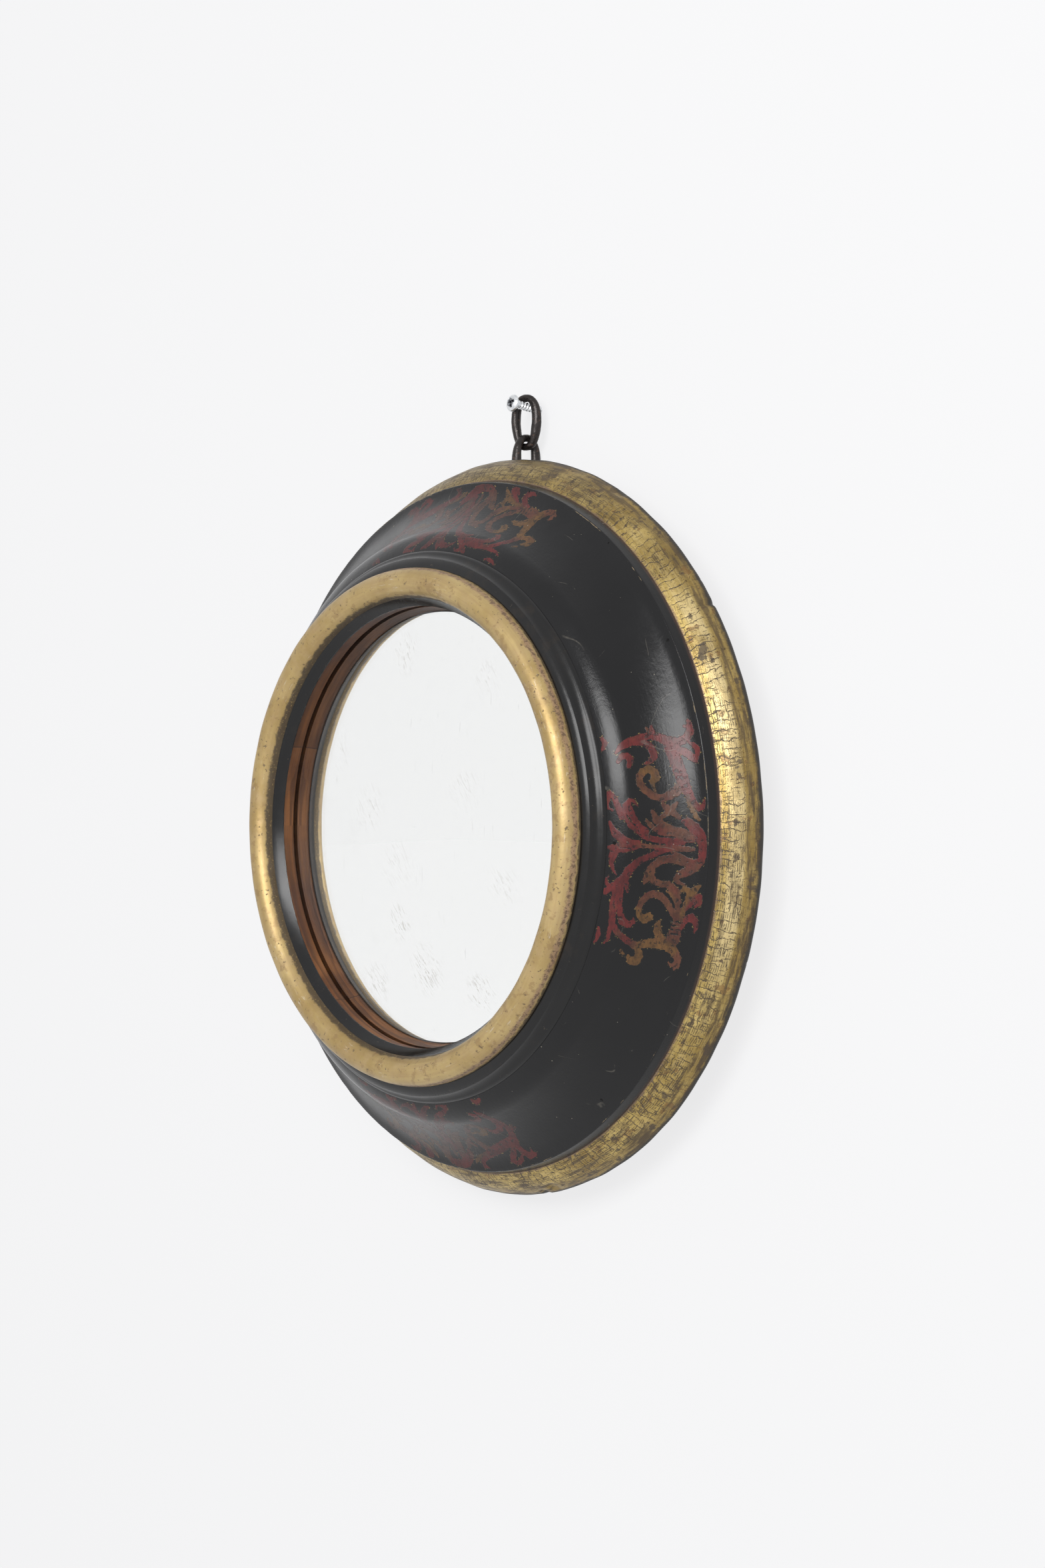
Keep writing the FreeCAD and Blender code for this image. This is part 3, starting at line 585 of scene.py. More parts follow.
# small worm holes: the mask of a round hole at a place given in metres
worm_hole, bench, given, end = effect("Worm hole", "Place Centre Radius", "Mask")
reach = bench.add("VectorMath", "Value", {0: given["Place"], 1: given["Centre"]}, operation="DISTANCE")
hole = bench.step(bench.sum("DIVIDE", bench.times(reach, 1000.0), given["Radius"]), 1.15, 0.75)
bench.tree.links.new(hole, end.inputs["Mask"])
WORM_HOLES = [  # turn in degrees, distance in from the fillet edge, radius
    (-52.2, 8.9, 0.75), (53.3, 1.3, 0.6), (31.6, 2.5, 0.8), (75.4, 1.2, 0.6),
    (-2.7, 48.3, 0.85), (-118.0, 21.0, 0.7), (148.0, 34.0, 0.7), (203.0, 12.0, 0.8)]


def face_place(degrees, across):
    """Point of the moulding's face at a turn and a distance in from the fillet edge, in metres."""
    walked = 0.0
    for (r0, h0), (r1, h1) in zip(moulding_face, moulding_face[1:]):
        walked += math.hypot(r1 - r0, h1 - h0)
        if walked >= across:
            break
    turn = math.radians(degrees)
    return (r1 * math.cos(turn) / 1000, -(STAND_OFF + h1) / 1000, mirror_z + r1 * math.sin(turn) / 1000)


def lacquer(bench):
    turned, place = both_places(bench)
    _, across, _ = bench.split(turned)
    drift = bench.noise(place, 38, 4, 0.6)
    black = bench.mix(drift, (0.0014, 0.0014, 0.0019), (0.0042, 0.0042, 0.0050))
    # painted scroll, cut out by the distance stored on the mesh, with rubbed places inside it
    painted = bench.add("Attribute", "Fac", {}, attribute_name="scroll")
    hue = bench.add("Attribute", "Fac", {}, attribute_name="scroll_hue")
    brush = bench.minus(bench.noise(place, 1.7, 4, 0.6), 0.5)
    edge = bench.plus(painted, bench.times(brush, 1.9))
    paint = bench.step(edge, 0.14, -0.14)
    rubbed = patches(bench, place, 2.8, 0.54)
    paint = bench.times(paint, bench.minus(1.0, bench.times(rubbed, 0.7)))
    hairs = bench.noise(bench.stretch(place, 1, 1, 0.35), 1.1, 3, 0.7)
    thin = bench.step(bench.noise(place, 6, 5, 0.65), 0.30, 0.64, 0.50, 1.0)
    thin = bench.times(thin, bench.step(hairs, 0.30, 0.60, 0.62, 1.0))
    turn_of_hue = bench.times(bench.minus(bench.noise(place, 8, 4), 0.5), 1.3)
    hue = bench.plus(hue, turn_of_hue, clamp=True)
    red_brown = bench.mix(bench.step(hue, 0.0, 0.5), (0.145, 0.0185, 0.0175), (0.125, 0.044, 0.024))
    scroll_colour = bench.mix(bench.step(hue, 0.5, 1.0), red_brown, (0.165, 0.079, 0.023))
    side, _, _ = bench.split(place)
    # the scroll paint is thinner everywhere but on the right side of the frame
    thinned_off_right = bench.step(bench.plus(side, bench.times(drift, 0.06)), 0.13, 0.02, 0.0, 0.42)
    thin = bench.times(thin, bench.minus(1.0, thinned_off_right))
    colour = bench.coat(black, paint, thin, scroll_colour)
    # specks of the yellow size left round the scroll
    near = bench.step(bench.sum("ABSOLUTE", bench.minus(painted, 0.35)), 1.1, 0.3)
    flecks = bench.step(bench.times(bench.noise(place, 1.4, 3, 0.65), near), 0.60, 0.65)
    colour = bench.coat(colour, flecks, 0.65, (0.32, 0.21, 0.07))
    # chips along the fillet edge show the cream ground
    chip_line = bench.sum("ABSOLUTE", bench.minus(across, 0.0002))
    chip_noise = bench.noise(bench.stretch(turned, 0.30), 2.6, 6, 0.72)
    chipped = bench.step(bench.noise(place, 21, 4, 0.65), 0.45, 0.62, 0.33, 0.62)
    chip = bench.sum("MULTIPLY_ADD", chip_line, 520.0, chip_noise)
    chip = bench.step(chip, chipped, bench.minus(chipped, 0.1))
    colour = bench.coat(colour, chip, 0.8, (0.27, 0.205, 0.125))
    foot = bench.step(bench.plus(across, bench.times(chip_noise, 0.0018)), -0.0040, -0.0056)
    colour = bench.coat(colour, foot, 0.8, (0.060, 0.032, 0.023))
    # fine pale specks, curling hair scratches and worm holes
    cells = bench.add("TexVoronoi", "Distance", {"Vector": place, "Scale": 190.0, "Randomness": 1.0})
    chance = bench.step(bench.noise(place, 11, 3), 0.42, 0.68)
    speck = bench.step(bench.minus(cells, bench.times(chance, 0.070)), 0.010, -0.010)
    curl = bench.sum("ABSOLUTE", bench.minus(bench.noise(place, 34, 1, 0.4), 0.5))
    scratched = bench.step(bench.noise(bench.vector("ADD", place, (0.2, 0.0, 0.7)), 17, 4, 0.6), 0.55, 0.62)
    scratch = bench.times(bench.step(curl, 0.0042, 0.0012), scratched)
    colour = bench.coat(colour, speck, 0.55, (0.40, 0.36, 0.29))
    colour = bench.coat(colour, scratch, 0.35, (0.17, 0.155, 0.13))
    holes = None
    for degrees, distance, radius in WORM_HOLES:
        hole = bench.use(worm_hole, place=place, centre=face_place(degrees, distance), radius=radius)["Mask"]
        holes = hole if holes is None else bench.most(holes, hole)
    colour = bench.mix(holes, colour, (0.0012, 0.001, 0.001))
    rough = bench.plus(bench.step(drift, 0.3, 0.75, 0.19, 0.26), bench.times(paint, 0.04))
    rough = bench.plus(rough, bench.times(bench.plus(chip, speck), 0.3))
    rough = bench.most(rough, bench.times(holes, 0.9))
    brush_lines = bench.noise(bench.stretch(turned, 0.05), 1.2, 3, 0.6)
    wiped = bench.noise(bench.stretch(bench.add("Mapping", 0, {
        "Vector": place, "Rotation": (0, 0.6, 0)}), 1, 1, 0.16), 1.4, 3, 0.65)
    normal = bench.bump(bench.noise(place, 22, 2, 0.4), 0.25)
    normal = bench.bump(bench.noise(place, 3.0, 5, 0.75), 0.11, normal)
    normal = bench.bump(bench.plus(brush_lines, wiped), 0.048, normal)
    sunk = bench.plus(bench.times(chip, 3.0), bench.times(holes, 12.0))
    normal = bench.bump(bench.minus(paint, sunk), 0.04, normal)
    return {"Base Color": colour, "Roughness": rough, "Normal": normal, "IOR": 1.40}


moulding_face = arc_points(
    FILLET_TOP, [(178.0, 30.1), (165.0, 43.0), (159.3, 52.2), (155.4, 57.0), TERRACE_INNER], 170, 0.6)
soft_edge = [(186.29, 26.0), (186.22, 26.38), (186.06, 26.60), (185.72, 26.74), (185.30, 26.83)]
moulding_outline = [RIM_INNER] + straight_points([RIM_INNER, (186.34, 25.6)], 0.9)
moulding_outline += soft_edge + moulding_face[2:]
moulding_outline += straight_points([
    TERRACE_INNER, (TERRACE_INNER[0], RING_SEAT), (REBATE_RADIUS, RING_SEAT), (REBATE_RADIUS, RIM_INNER[1]),
    RIM_INNER], 8)[:-1]
fillet_height = math.dist(RIM_INNER, FILLET_TOP)
moulding_turns = scroll_turns()
lacquered_moulding = turned_ring(
    "lacquered_moulding", moulding_outline, moulding_turns, MOULDING_GAUGE, -fillet_height, moulding_working)

section_across = walked_across(moulding_outline, -fillet_height)[:-1]
quarter_turn = (moulding_turns[:-1] + math.pi / 4) % (math.pi / 2) - math.pi / 4
past_scroll = quarter_turn * MOULDING_GAUGE > SCROLL_REACH[1] + 2
column_along = np.where(past_scroll, quarter_turn - math.pi / 2, quarter_turn) * MOULDING_GAUGE
grid_along = np.repeat(column_along[None, :], len(section_across), axis=0)
grid_across = np.repeat(section_across[:, None], len(column_along), axis=1)
scroll = np.full(grid_along.shape, 9.0)
hue = np.zeros(grid_along.shape)
weight = np.full(grid_along.shape, 1e-6)
for shade, stroke in SCROLL:
    gap = stroke_distance(grid_along, grid_across, stroke)
    scroll = np.minimum(scroll, gap)
    near = np.exp(-np.clip(gap + 1.0, 0, 8) * 1.6)
    hue += shade * near
    weight += near
for vein in VEINS:
    scroll = np.maximum(scroll, -stroke_distance(grid_along, grid_across, vein))
scroll[(grid_across < 0.6) | (grid_across > 52.6)] = 9.0
for name, values in (("scroll", scroll), ("scroll_hue", hue / weight)):
    stored = lacquered_moulding.data.attributes.new(name, "FLOAT", "POINT")
    stored.data.foreach_set("value", values.astype(np.float32).ravel())
black_lacquer = finish_material("Black lacquer", lacquer)
lacquered_moulding.data.materials.append(black_lacquer)
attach(lacquered_moulding, "frame")
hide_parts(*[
    f"{end}_moulding_segment_{i}" for end in ("rear", "front") for i in range(1, 7)])

# ---- Step ring ---------------------------------------------------------------------------------
# Two small ridges with a cove between, turned from one ring and lacquered black, glued on the seat
# inside the moulding. It rises from the terrace to the foot of the gilt bead.
STEP_CREASES = [(TERRACE_INNER, 95), ((146.5, 63.6), 155), ((143.2, 68.5), 140)]  # and the way on from each
BEAD_FOOT = (138.4, 70.4)
STEP_BORE = 137.0                 # takes the bead's tenon
STEP_GAUGE = 143.0
step_outline = [TERRACE_INNER]
for (crease, leaving), end in zip(STEP_CREASES, [crease for crease, _ in STEP_CREASES[1:]] + [BEAD_FOOT]):
    step_outline += arc_points(crease, [end], leaving, 0.35)[1:]
step_outline += straight_points([
    BEAD_FOOT, (STEP_BORE, BEAD_FOOT[1]), (STEP_BORE, RING_SEAT), (TERRACE_INNER[0], RING_SEAT)], 3.0)


def hand_turned(width, radial, forward):
    """Working of a ring whose face, this wide, wanders a little; each wander is (waves, size, seed)."""
    def working(radius, height, turn, across):
        face = np.clip(across / 2.0, 0, 1) * np.clip((width - across) / 2.0, 0, 1)
        return radius + face * wander(turn, *radial), height + face * wander(turn, *forward)
    return working


def step_lacquer(bench):
    turned, place = both_places(bench)
    drift = bench.noise(place, 30, 4, 0.6)
    colour = bench.mix(drift, (0.0018, 0.0018, 0.0021), (0.0052, 0.0050, 0.0052))
    worn = patches(bench, place, 2.6, 0.36)
    colour = bench.coat(colour, worn, 0.35, (0.11, 0.085, 0.06))
    brown = bench.step(bench.noise(place, 14, 4, 0.6), 0.55, 0.75)
    colour = bench.coat(colour, brown, 0.3, (0.040, 0.026, 0.016))
    lines = bench.noise(bench.stretch(turned, 0.04), 0.9, 3, 0.6)
    normal = bench.bump(bench.noise(place, 9, 3, 0.5), 0.10)
    normal = bench.bump(lines, 0.015, normal)
    rough = bench.step(drift, 0.3, 0.75, 0.19, 0.30)
    return {"Base Color": colour, "Roughness": rough, "Normal": normal, "IOR": 1.42}


even_turns = np.linspace(-math.pi, math.pi, 721)
stepped_ring = turned_ring(
    "stepped_ring", step_outline[:-1], even_turns, STEP_GAUGE, 0.0,
    hand_turned(14.0, ((4, 9, 15, 26, 44), 0.06, 51), ((3, 8, 17, 27), 0.05, 57)))
worn_lacquer = finish_material("Worn black lacquer", step_lacquer)
stepped_ring.data.materials.append(worn_lacquer)
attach(stepped_ring, "frame")
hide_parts("step_ring")

# ---- Gilt bead ---------------------------------------------------------------------------------
# The half-round ring nearest the glass, turned with a square tenon that is glued into the step ring.
# Its gilding is smoother than the rim's, rubbed to the bole on its crown and dark where it meets the black.
BEAD_MIDDLE = 130.3
BEAD_HALF_WIDTH = 8.1
BEAD_RISE = 10.0
BEAD_GAUGE = 130.0
LIP_HEIGHT = 72.0                 # black lip, where it leaves the bead
LINER_RADIUS = 124.0              # outside of the liner and the sight lip
bead_curve = []
for i in range(61):
    lean = math.pi / 2 - (math.pi / 2 + math.acos(0.16)) * i / 60
    bead_curve.append((
        BEAD_MIDDLE + BEAD_HALF_WIDTH * math.sin(lean), BEAD_FOOT[1] + BEAD_RISE * math.cos(lean)))
bead_outline = bead_curve + straight_points([
    bead_curve[-1], (LINER_RADIUS, LIP_HEIGHT), (LINER_RADIUS, RING_SEAT), (STEP_BORE, RING_SEAT),
    (STEP_BORE, BEAD_FOOT[1])], 3)


def bead_gilding(bench):
    turned, place = both_places(bench)
    _, across, _ = bench.split(turned)
    tone = bench.noise(place, 30, 5, 0.6)
    gold = bench.mix(bench.step(tone, 0.3, 0.7), (0.37, 0.255, 0.092), (0.53, 0.395, 0.175))
    cloud = bench.step(bench.noise(place, 11, 5, 0.65), 0.42, 0.72, 0.0, 0.6)
    gold = bench.mix(cloud, gold, (0.47, 0.34, 0.18))
    streaks = bench.noise(bench.stretch(turned, 0.06), 1.8, 4, 0.6)
    gold = bench.mix(bench.step(streaks, 0.35, 0.75, 0.0, 0.45), gold, (0.36, 0.235, 0.11))
    rubbed = patches(bench, place, 7.0, 0.56)
    gold = bench.coat(gold, rubbed, 0.42, (0.27, 0.165, 0.075))
    freckles = patches(bench, place, 2.4, 0.46)
    gold = bench.coat(gold, freckles, 0.75, (0.11, 0.07, 0.035))
    scrape = bench.noise(bench.stretch(turned, 0.16), 1.3, 4, 0.7)
    scraped = bench.times(bench.step(scrape, 0.60, 0.64), bench.step(bench.noise(place, 24, 3), 0.45, 0.62))
    gold = bench.coat(gold, scraped, 0.6, (0.60, 0.52, 0.40))
    # rubbed pink line round the outside, ragged dirt where the gold meets the black on both sides
    ragged = bench.times(bench.minus(bench.noise(place, 5, 5, 0.7), 0.5), 0.0056)
    edge = bench.plus(across, ragged)
    outer_dirt = bench.step(edge, 0.0018, 0.0006)
    inner_dirt = bench.step(edge, 0.0222, 0.0238)
    dirt = bench.most(outer_dirt, inner_dirt)
    pink = bench.step(bench.sum("ABSOLUTE", bench.minus(edge, 0.0036)), 0.0022, 0.0004)
    gold = bench.coat(gold, pink, 0.60, (0.30, 0.175, 0.120))
    shed = bench.step(bench.noise(place, 1.8, 4, 0.65), 0.48, 0.58)
    gold = bench.coat(gold, bench.times(pink, shed), 0.7, (0.085, 0.050, 0.032))
    gold = bench.coat(gold, dirt, 0.88, (0.045, 0.030, 0.018))
    specks = bench.step(bench.noise(place, 1.1, 3, 0.6), 0.60, 0.66)
    gold = bench.coat(gold, bench.times(specks, inner_dirt), 0.8, (0.33, 0.22, 0.08))
    covered = bench.most(bench.most(dirt, freckles), bench.times(pink, 0.6))
    metal = bench.times(bench.minus(1.0, covered), 0.55, clamp=True)
    rough = bench.plus(bench.sum("MULTIPLY_ADD", tone, 0.14, 0.36), bench.times(covered, 0.15))
    normal = bench.bump(bench.noise(place, 14, 3, 0.5), 0.35)
    normal = bench.bump(bench.noise(place, 2.6, 4, 0.6), 0.07, normal)
    normal = bench.bump(bench.minus(1.0, freckles), 0.05, normal)
    return {"Base Color": gold, "Metallic": metal, "Roughness": rough, "Normal": normal}


gilt_bead_ring = turned_ring(
    "gilded_bead", bead_outline, even_turns, BEAD_GAUGE, 0.0,
    hand_turned(25.0, ((3, 6, 11, 19, 33), 0.10, 71), ((4, 9, 16, 28, 47), 0.08, 77)))
gilt_bead_ring.data.materials.append(finish_material("Smooth gilding", bead_gilding))
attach(gilt_bead_ring, "frame")
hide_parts("gilt_bead")

# ---- Sight lip and liner -----------------------------------------------------------------------
# A black hollow bevel runs from the bead down to the sight edge. Under it a narrow liner of bare brown
# wood stands on the glass and seats it.
SIGHT_EDGE = (118.2, 67.4)
LIP_TOP = (122.31, LIP_HEIGHT)
LINER_BORE = 118.7
LINER_HEIGHT = 66.9
SIGHT_GAUGE = 120.0
lip_outline = arc_points(LIP_TOP, [SIGHT_EDGE], 235, 0.35) + straight_points([
    SIGHT_EDGE, (SIGHT_EDGE[0], LINER_HEIGHT), (LINER_RADIUS, LINER_HEIGHT),
    (LINER_RADIUS, LIP_HEIGHT), LIP_TOP], 2)[:-1]
sight_bevel = turned_ring("sight_bevel", lip_outline, even_turns, SIGHT_GAUGE)
sight_bevel.data.materials.append(worn_lacquer)
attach(sight_bevel, "frame")
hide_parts("sight_lip")


def liner_wood(bench):
    turned, place = both_places(bench)
    colour, grain = bare_wood_colour(bench, place, turned)
    warm = bench.mix(1.0, colour, (1.25, 0.92, 0.58), "MULTIPLY")
    _, _, level = bench.split(place)
    shaded = bench.step(bench.minus(level, mirror_z), -0.02, 0.11, 0.0, 0.6)
    warm = bench.mix(shaded, warm, bench.mix(1.0, warm, (0.35, 0.30, 0.30), "MULTIPLY"))
    normal = bench.bump(grain["Pores"], 0.06)
    return {"Base Color": warm, "Roughness": 0.5, "Normal": normal}


liner_outline = straight_points([
    (LINER_BORE, RING_SEAT), (LINER_BORE, LINER_HEIGHT), (LINER_RADIUS, LINER_HEIGHT),
    (LINER_RADIUS, RING_SEAT), (LINER_BORE, RING_SEAT)], 1.2)
wood_liner = turned_ring("wood_liner", liner_outline, even_turns, SIGHT_GAUGE)
wood_liner.data.materials.append(finish_material("Brown liner wood", liner_wood))
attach(wood_liner, "frame")
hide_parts("rebate_liner")

# ---- Domed glass and silvering -----------------------------------------------------------------
# A round of blown glass bent to a shallow dome, silvered on its back. The silvering has a few grey
# blooms and hair scratches, and darkens at the very edge.
GLASS_CURVATURE = 750.0
GLASS_RADIUS = 123.5
GLASS_THICKNESS = 3.0
SILVER_RADIUS = 122.5
SILVER_THICKNESS = 0.35
GLASS_GAUGE = 100.0


def sag(curvature, radius):
    return curvature - math.sqrt(curvature ** 2 - radius ** 2)


glass_front = RING_SEAT + sag(GLASS_CURVATURE, LINER_BORE) - 0.05


def dome_outline(curvature, front, thickness, widest):
    """Half section of a domed sheet: out along its front, back along its rear."""
    radii = [0.02] + [widest * i / 60 for i in range(1, 61)]
    face = [(radius, front - sag(curvature, radius)) for radius in radii]
    rear = [(radius, front - thickness - sag(curvature - thickness, radius)) for radius in reversed(radii)]
    return face + rear


def clear_glass(bench):
    place = own_place(bench)
    normal = bench.bump(bench.noise(place, 60, 1, 0.3), 0.02)
    return {"Base Color": (0.992, 0.996, 0.992), "Roughness": 0.0, "IOR": 1.5, "Transmission Weight": 1.0,
            "Normal": normal}


domed_glass = turned_ring(
    "domed_glass", dome_outline(GLASS_CURVATURE, glass_front, GLASS_THICKNESS, GLASS_RADIUS), even_turns,
    GLASS_GAUGE)
domed_glass.data.materials.append(finish_material("Old clear glass", clear_glass))
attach(domed_glass, "frame")
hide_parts("convex_glass")

SILVER_MARKS = [  # right of the middle, above it, reach, strength
    (-14, 93, 16, 0.5), (53, 79, 14, 0.3), (-40, 10, 18, 0.35), (-14, -51, 13, 0.9), (6, -76, 18, 0.8),
    (-40, -85, 16, 0.7), (48, -86, 14, 0.9), (-84, -70, 14, 0.8), (-16, -20, 20, 0.3), (40, 20, 16, 0.3),
    (70, -30, 16, 0.35), (-70, 40, 14, 0.3)]


def aged_silver(bench):
    place = own_place(bench)
    centred = bench.vector("ADD", place, (0.0, 0.0, -mirror_z))
    x, _, z = bench.split(centred)
    reach = bench.sum("SQRT", bench.plus(bench.times(x, x), bench.times(z, z)))
    bloom = bench.step(bench.noise(place, 34, 6, 0.7), 0.60, 0.80)
    marks = None
    lean = bench.add("Mapping", 0, {"Vector": centred, "Rotation": (0, 0.65, 0)})
    scratches = bench.step(bench.noise(bench.stretch(lean, 1, 1, 0.16), 1.1, 4, 0.7), 0.53, 0.62)
    for right_of, above_middle, reach_of, strength in SILVER_MARKS:
        away = bench.vector("SUBTRACT", centred, (right_of / 1000, 0.0, above_middle / 1000))
        away_x, _, away_z = bench.split(away)
        gap = bench.sum("SQRT", bench.plus(bench.times(away_x, away_x), bench.times(away_z, away_z)))
        near = bench.step(gap, reach_of / 1000, 0.0, 0.0, strength)
        marks = near if marks is None else bench.most(marks, near)
    marks = bench.times(marks, scratches)
    hair_place = bench.stretch(bench.vector("ADD", place, (0.1, 0.0, 0.3)), 1, 1, 0.06)
    hair = bench.step(bench.noise(hair_place, 1.2, 2, 0.7), 0.69, 0.72)
    edge = bench.step(bench.plus(reach, bench.times(bench.noise(place, 6, 5, 0.7), 0.006)), 0.1215, 0.1245)
    grey = bench.coat((0.97, 0.97, 0.965), bloom, 0.10, (0.62, 0.62, 0.60))
    grey = bench.coat(grey, marks, 0.8, (0.50, 0.47, 0.42))
    grey = bench.coat(grey, hair, 0.15, (0.45, 0.45, 0.43))
    grey = bench.coat(grey, edge, 0.8, (0.13, 0.10, 0.07))
    rough = bench.sum("MULTIPLY_ADD", bench.most(marks, edge), 0.12, 0.02)
    return {"Base Color": grey, "Metallic": 1.0, "Roughness": rough}


silver_outline = dome_outline(
    GLASS_CURVATURE - GLASS_THICKNESS, glass_front - GLASS_THICKNESS - 0.02, SILVER_THICKNESS, SILVER_RADIUS)
silver_coat = turned_ring("silver_coat", silver_outline, even_turns, GLASS_GAUGE)
silver_coat.data.materials.append(finish_material("Aged silvering", aged_silver))
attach(silver_coat, "frame")
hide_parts("mirror_silvering")

# ---- Blocks, sprigs, boards and battens --------------------------------------------------------
# Softwood blocks and iron sprigs hold the glass from behind. Three thin boards close the back, nailed
# into the rebate, and two battens screwed over them stand the frame off the wall.


def plain_timber(light, dark, spacing, turn):
    """Old planed timber; turn picks the axis its grain runs along."""
    def build(bench):
        place = own_place(bench)
        lying = bench.add("Mapping", 0, {"Vector": place, "Rotation": turn})
        grain = bench.use(wood_grain, place=lying, spacing=spacing)
        colour = bench.mix(grain["Tone"], dark, light)
        stain = bench.step(bench.noise(place, 55, 5, 0.6), 0.42, 0.72)
        colour = bench.coat(colour, stain, 0.55, tuple(0.4 * v for v in dark))
        dust = patches(bench, place, 4.0, 0.42)
        colour = bench.coat(colour, dust, 0.35, (0.30, 0.24, 0.17))
        rough = bench.step(stain, 0.0, 1.0, 0.62, 0.8)
        normal = bench.bump(grain["Pores"], 0.12)
        normal = bench.bump(grain["Tone"], 0.10, normal)
        return {"Base Color": colour, "Roughness": rough, "Normal": normal}
    return build


board_timber = finish_material("Old pine boards", plain_timber(
    (0.31, 0.185, 0.088), (0.125, 0.062, 0.027), 8.0, (0, math.pi / 2, 0)))
batten_timber = finish_material("Batten softwood", plain_timber(
    (0.42, 0.27, 0.14), (0.19, 0.10, 0.046), 4.5, (0, 0, 0)))


def rusty_iron(bench):
    place = own_place(bench)
    skin = bench.noise(place, 3.2, 5, 0.65)
    iron = bench.mix(skin, (0.012, 0.010, 0.0095), (0.046, 0.038, 0.035))
    rust = patches(bench, place, 2.6, 0.52)
    iron = bench.coat(iron, rust, 0.55, (0.085, 0.036, 0.016))
    bright = patches(bench, bench.vector("ADD", place, (0.2, 0, 0)), 3.4, 0.36)
    iron = bench.coat(iron, bright, 0.5, (0.24, 0.21, 0.18))
    rough = bench.plus(bench.step(skin, 0.3, 0.7, 0.20, 0.38), bench.times(rust, 0.25))
    normal = bench.bump(bench.noise(place, 4.5, 3, 0.5), 0.35)
    normal = bench.bump(bench.noise(place, 1.2, 4, 0.6), 0.10, normal)
    metal = bench.times(bench.minus(1.0, rust), 0.55)
    return {"Base Color": iron, "Metallic": metal, "Roughness": rough, "Normal": normal}


black_iron = finish_material("Black forged iron", rusty_iron)


def dress(material, *nodes):
    """Gives CAD nodes that keep their shape their finished material."""
    for node in nodes:
        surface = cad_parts[node]
        surface.data.materials.clear()
        surface.data.materials.append(material)


dress(board_timber, "back_board_left", "back_board_centre", "back_board_right")
dress(batten_timber, "upper_batten", "lower_batten", "glazing_blocks")
dress(black_iron, "glazing_sprigs", "back_board_nails", "batten_screws", "hanging_staple")

# ---- Chain links -------------------------------------------------------------------------------
# Two links bent from round iron wire by hand, so their ovals and their thickness are uneven. The upper
# one hangs on the wall screw, the lower one goes down behind the rim to the staple.


def tube_faces(rows, around_count, closed):
    """Quads between rows of points round a tube; closed joins the last row to the first."""
    faces = []
    for i in range(rows if closed else rows - 1):
        a, b = i * around_count, (i + 1) % rows * around_count
        for j in range(around_count):
            k = (j + 1) % around_count
            faces.append((a + j, a + k, b + k, b + j))
    return faces


def forged_link(name, node, wire, seed, pinch, twist):
    """Oval link over the CAD link's box; pinch narrows its lower half, twist turns it about the plumb line.

    The wire is thickest at its sides and worn thin where it bears.
    """
    low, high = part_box(node)
    centre = (low + high) / 2
    across = Vector((1, 0, 0)) if high.x - low.x > high.y - low.y else Vector((0, 1, 0))
    across = Matrix.Rotation(math.radians(twist), 3, "Z") @ across
    side = Vector((0, 0, 1)).cross(across)
    half_width = max(high.x - low.x, high.y - low.y) / 2 - wire / 2000
    half_length = (high.z - low.z) / 2 - wire / 2000
    count, around_count = 144, 20
    points = []
    for i in range(count):
        turn = 2 * math.pi * i / count
        c, s = math.cos(turn), math.sin(turn)
        squarish = (abs(c) ** 2.5 + abs(s) ** 2.5) ** (-1 / 2.5)
        narrowing = 1 - pinch * max(0.0, -s) * abs(c)
        out = c * squarish * half_width * narrowing
        middle = centre + across * out + Vector((0, 0, s * squarish * half_length))
        ahead = 2 * math.pi * (i + 0.5) / count
        outward = (across * (c / half_width) + Vector((0, 0, s / half_length))).normalized()
        for j in range(around_count):
            angle = 2 * math.pi * j / around_count
            flat = 1.0 + 0.05 * math.cos(2 * angle + ahead)
            knock = noise.noise(Vector((seed + 1.7 * c, 1.7 * s, 0.8 * math.cos(angle)))) * 0.10
            pit = noise.noise(Vector((seed + 9 * c, 9 * s, 2.6 * math.sin(angle)))) * 0.035
            worn = 1.0 + 0.22 * abs(c) ** 4 - 0.06 * abs(s) ** 4
            reach = wire / 2000 * (flat * worn + knock + pit)
            points.append(middle + (outward * math.cos(angle) + side * math.sin(angle)) * reach)
    link = new_object(name, points, tube_faces(count, around_count, closed=True))
    link.data.shade_smooth()
    link.data.materials.append(black_iron)
    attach(link, node)
    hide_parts(node)


forged_link("forged_upper_link", "upper_link", 4.4, 2.0, 0.16, 16)
forged_link("forged_lower_link", "lower_link", 4.3, 7.0, 0.10, 0)

# ---- Wall screw --------------------------------------------------------------------------------
# The one modern piece: a zinc-plated wood screw, threaded for its whole length, with a domed head and a
# cross recess. It is driven into the wall tilted a little upwards, so the link can't slide off.
SCREW_TILT = math.radians(8)
PITCH = 1.9
TIP, NECK, SCREW_FRONT = -27.0, 19.5, 21.8   # distances along the axis, from the wall
HEAD_RADIUS = 4.75
ARM_REACH, ARM_HALF_WIDTH = 2.9, 0.72        # cross recess


